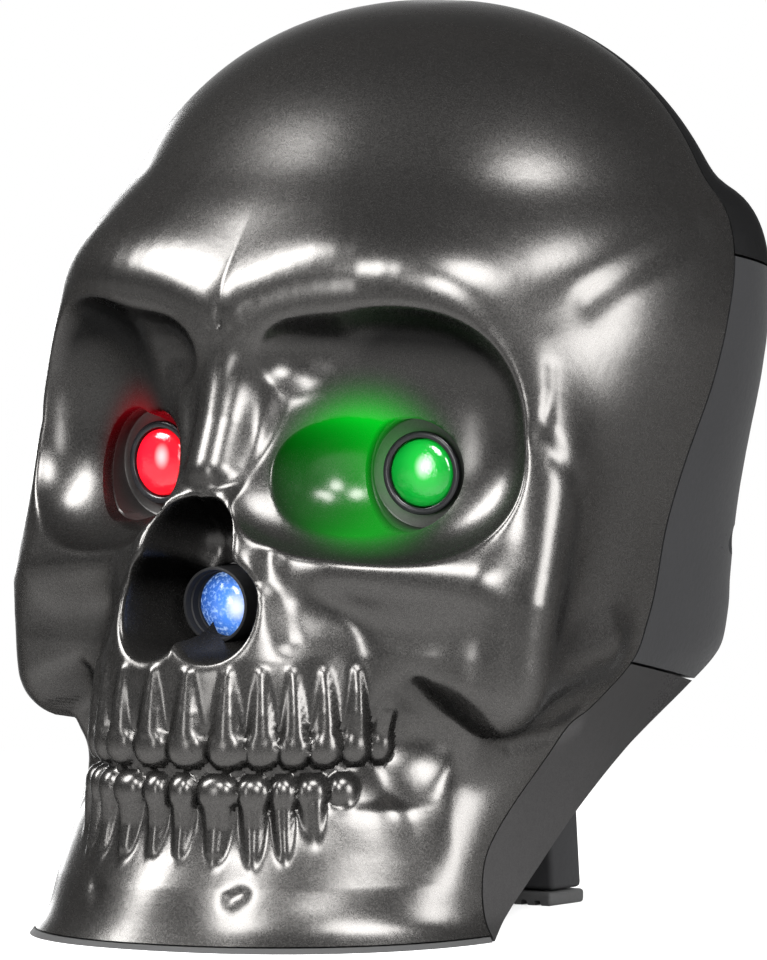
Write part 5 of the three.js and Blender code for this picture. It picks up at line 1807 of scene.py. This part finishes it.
@dataclass
class Stand(Maker):
    """The folding leg, its ribbed foot and the pin."""

    width: float = 30
    thickness: float = 10
    lean: float = math.radians(5)
    foot_top: float = 2.9
    leg_bore: float = 1.58
    pad: Pair = (12, 2.6)
    rib_step: float = 3
    rib_cut: Point = (1.5, 20, 2)
    pin_radius: float = 1.5
    leg_bore_length: float = 40
    toe_share: float = 1.1
    pin_length: float = 36

    def build(self) -> None:
        """Makes the leg, foot and pin."""
        leg = self.keep(self.leg_form(), "stand_leg_moulded")
        start = (-self.leg_bore_length / 2, *PIN_AT)
        self.cut(leg, [(Cut.MINUS, self.rod(self.leg_bore, self.leg_bore_length, start, ACROSS))])
        dress(leg, Body.STAND, "black_plastic", BLACK, "stand_leg")
        depth, height = self.pad
        middle = PIN_AT[0] + PIN_AT[1] * math.tan(self.lean)
        pad = self.box((self.width, depth, height), (0, middle, height / 2), 0.7, 3)
        pad = self.keep(pad, "stand_foot_pad_moulded")
        grooves = [self.box(self.rib_cut, (i * self.rib_step, middle, 0), 0.4, 2) for i in range(-4, 5)]
        self.cut(pad, [(Cut.MINUS, groove) for groove in grooves])
        dress(pad, Body.STAND, "soft_rubber", RUBBER, "stand_foot_pad")
        rod = self.rod(self.pin_radius, self.pin_length, (-self.pin_length / 2, *PIN_AT), ACROSS)
        self.round_edges(rod, [e for e in rod.edges if e.calc_face_angle(0) > 1], 0.2, 2)
        dress(self.keep(rod, "leg_pin_turned"), Body.HOUSING, "screw_steel", STEEL, "leg_pin")

    def leg_form(self) -> Form:
        """The leg: a round top about the pin and a flat foot, leaning back, with rounded edges.

        Returns:
            The closed bmesh.
        """
        y, z = PIN_AT
        r = self.thickness / 2
        arc = [(-r * math.cos(math.pi * i / 24), r * math.sin(math.pi * i / 24)) for i in range(25)]
        bm = self.prism([(-r, -z), *arc, (r * self.toe_share, -z)], self.width / 2)
        bmesh.ops.rotate(bm, cent=(0, 0, 0), matrix=Matrix.Rotation(self.lean, 3, "X"), verts=bm.verts)
        bmesh.ops.translate(bm, vec=(0, y, z), verts=bm.verts)
        whole = [*bm.verts, *bm.edges, *bm.faces]
        plane = {"plane_co": (0, 0, self.foot_top), "plane_no": (0, 0, 1)}
        bmesh.ops.bisect_plane(bm, geom=whole, clear_inner=True, **plane)
        bmesh.ops.holes_fill(bm, edges=[e for e in bm.edges if e.is_boundary], sides=0)
        sharp = [e for e in bm.edges if len(e.link_faces) == 2 and e.calc_face_angle(0) > 1]
        self.round_edges(bm, sharp, 1.1, 4)
        return bm


# Studio


@dataclass(frozen=True)
class SoftBox:
    """An oval area light that faces the head."""

    name: str
    at: Point
    size: Pair
    power: float

    def build(self) -> None:
        """Adds the light, aimed at the head's middle."""
        middle = Vector((0, 0, 0.09))
        lamp = bpy.data.lights.new(self.name, "AREA")
        lamp.shape, lamp.size, lamp.size_y = "ELLIPSE", *self.size
        lamp.energy = self.power
        light = bpy.data.objects.new(self.name, lamp)
        light.location = self.at
        light.rotation_euler = (middle - Vector(self.at)).to_track_quat("-Z", "Y").to_euler()
        bpy.context.scene.collection.objects.link(light)


SOFTBOXES = (
    SoftBox("left_softbox", (-0.74, -0.65, 0.9), (0.5, 0.95), 50),
    SoftBox("front_softbox", (0.24, -1.02, 0.86), (0.45, 0.55), 24),
    SoftBox("low_softbox", (-0.12, -1.28, 0.22), (0.22, 0.45), 5),
    SoftBox("cheek_softbox", (0.94, -0.8, 0.52), (0.45, 0.45), 20),
    SoftBox("wide_softbox", (0.98, -0.12, 0.98), (0.8, 0.6), 38),
    SoftBox("side_softbox", (1.22, 0.42, 0.14), (0.45, 0.6), 20),
    SoftBox("rim_softbox", (-1.0, 0.84, 0.14), (0.3, 0.4), 4),
)


@dataclass
class Studio:
    """Camera, lights, floor and the white surround. The photo's scale is in pixels per millimetre."""

    azimuth: float = math.radians(33)
    elevation: float = math.radians(3.7)
    distance: float = 3.0
    scale: float = 5.42
    photo_width: float = 767
    aside_pixels: float = 62.5
    aim_height: float = 0.0825
    sensor: float = 36
    clip_end: float = 20
    floor_radius: float = 2
    floor_fade: Pair = (0.1, 0.4)
    backdrop_fade: Pair = (0.4, 0.85)
    room_colour: Point = (0.8, 0.82, 0.85)
    room_strength: float = 0.16

    def build(self) -> None:
        """Sets the camera, the surround, the floor and the lights."""
        right = Vector((math.cos(self.azimuth), math.sin(self.azimuth), 0))
        back = Vector((math.sin(self.azimuth), -math.cos(self.azimuth), 0)) * math.cos(self.elevation)
        back.z = math.sin(self.elevation)
        middle = Vector((0, FRAME_SHIFT * MM, self.aim_height)) + right * self.aside_pixels / self.scale * MM
        data = bpy.data.cameras.new("camera")
        data.sensor_fit, data.sensor_width = "HORIZONTAL", self.sensor
        data.lens = self.scale / MM * self.distance * data.sensor_width / self.photo_width
        data.clip_end = self.clip_end
        camera = bpy.data.objects.new("camera", data)
        camera.location = middle + back * self.distance
        camera.rotation_euler = back.to_track_quat("Z", "Y").to_euler()
        bpy.context.scene.collection.objects.link(camera)
        bpy.context.scene.camera = camera
        bpy.context.scene.view_settings.view_transform = "Standard"
        self.surround(back)
        self.floor()
        for light in SOFTBOXES:
            light.build()

    def floor(self) -> None:
        """A pale floor that keeps the shadow near the object and turns plain white further out."""
        bm = bmesh.new()
        bmesh.ops.create_circle(bm, cap_ends=True, segments=96, radius=self.floor_radius)
        mesh = bpy.data.meshes.new("floor")
        bm.to_mesh(mesh)
        bm.free()
        floor = bpy.data.objects.new("floor", mesh)
        bpy.context.scene.collection.objects.link(floor)
        s = Shader(bpy.data.materials.new("floor_finish"))
        far = s.fade(s.vector("LENGTH", s.spot(), output="Value"), *self.floor_fade, 0.4, 1.0)
        seen = s.ray("Camera") + s.ray("Glossy") + s.ray("Transmission")
        plain = s.node("ShaderNodeBsdfDiffuse", {}, {"Color": (0.7, 0.7, 0.7)})
        mixed = s.node("ShaderNodeMixShader", {}, {0: far * seen, 1: plain, 2: s.node("ShaderNodeEmission")})
        mesh.materials.append(s.end("ShaderNodeOutputMaterial", mixed))
        floor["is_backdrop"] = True

    def surround(self, back: Vector) -> None:
        """A white backdrop behind the object, in a plain room.

        Args:
            back: The way from the object to the camera.
        """
        s = Shader(bpy.data.worlds.new("surround"))
        way = s.node("ShaderNodeTexCoord", output="Generated")
        behind = s.fade(s.vector("DOT_PRODUCT", way, -back, output="Value"), *self.backdrop_fade, 0, 1)
        kinds = {0: s.ray("Glossy"), 1: s.ray("Transmission")}
        through = s.node("ShaderNodeMath", {"operation": "MAXIMUM"}, kinds)
        room = {"Color": self.room_colour, "Strength": self.room_strength}
        plain = s.node("ShaderNodeBackground", {}, room)
        white = s.node("ShaderNodeBackground", {}, {"Color": (1, 1, 1)})
        seen = s.ray("Camera") + through * behind
        mixed = s.node("ShaderNodeMixShader", {}, {0: seen, 1: plain, 2: white})
        bpy.context.scene.world = s.end("ShaderNodeOutputWorld", mixed)


def dress_nodes() -> None:
    """Gives every carried-over node the finish of its slot."""
    for part in frame["record"]["subparts"]:
        piece, coat = frame["nodes"].get(part["node"]), COAT_BY_SLOT.get(part["material_slot"])
        if piece is not None and coat is not None:
            for place in piece.material_slots:
                place.material = coat.made()


def main() -> None:
    """Builds every sub-assembly in order, then the studio."""
    logging.basicConfig(level=logging.INFO, format="%(message)s")
    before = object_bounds()
    form = HeadForm()
    for arch in (UPPER_ARCH, LOWER_ARCH):
        teeth, roots = arch.grow(form)
        form.teeth += teeth
        form.roots += roots
    shells = SkullShells(form, before, fine=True)
    shells.build()
    EyeLamp(1, "left", "green_lens", (0.01, 0.5, 0.04), (0.001, 0.1, 0.01)).build(shells.hollow)
    EyeLamp(-1, "right", "red_lens", (1.0, 0.01, 0.015), (0.5, 0.003, 0.01)).build(shells.hollow)
    shells.drop(shells.hollow)
    NoseProjector().build()
    RearPanel().build(shells)
    Stand().build()
    dress_nodes()
    Studio().build()


if __name__ == "__main__":
    main()
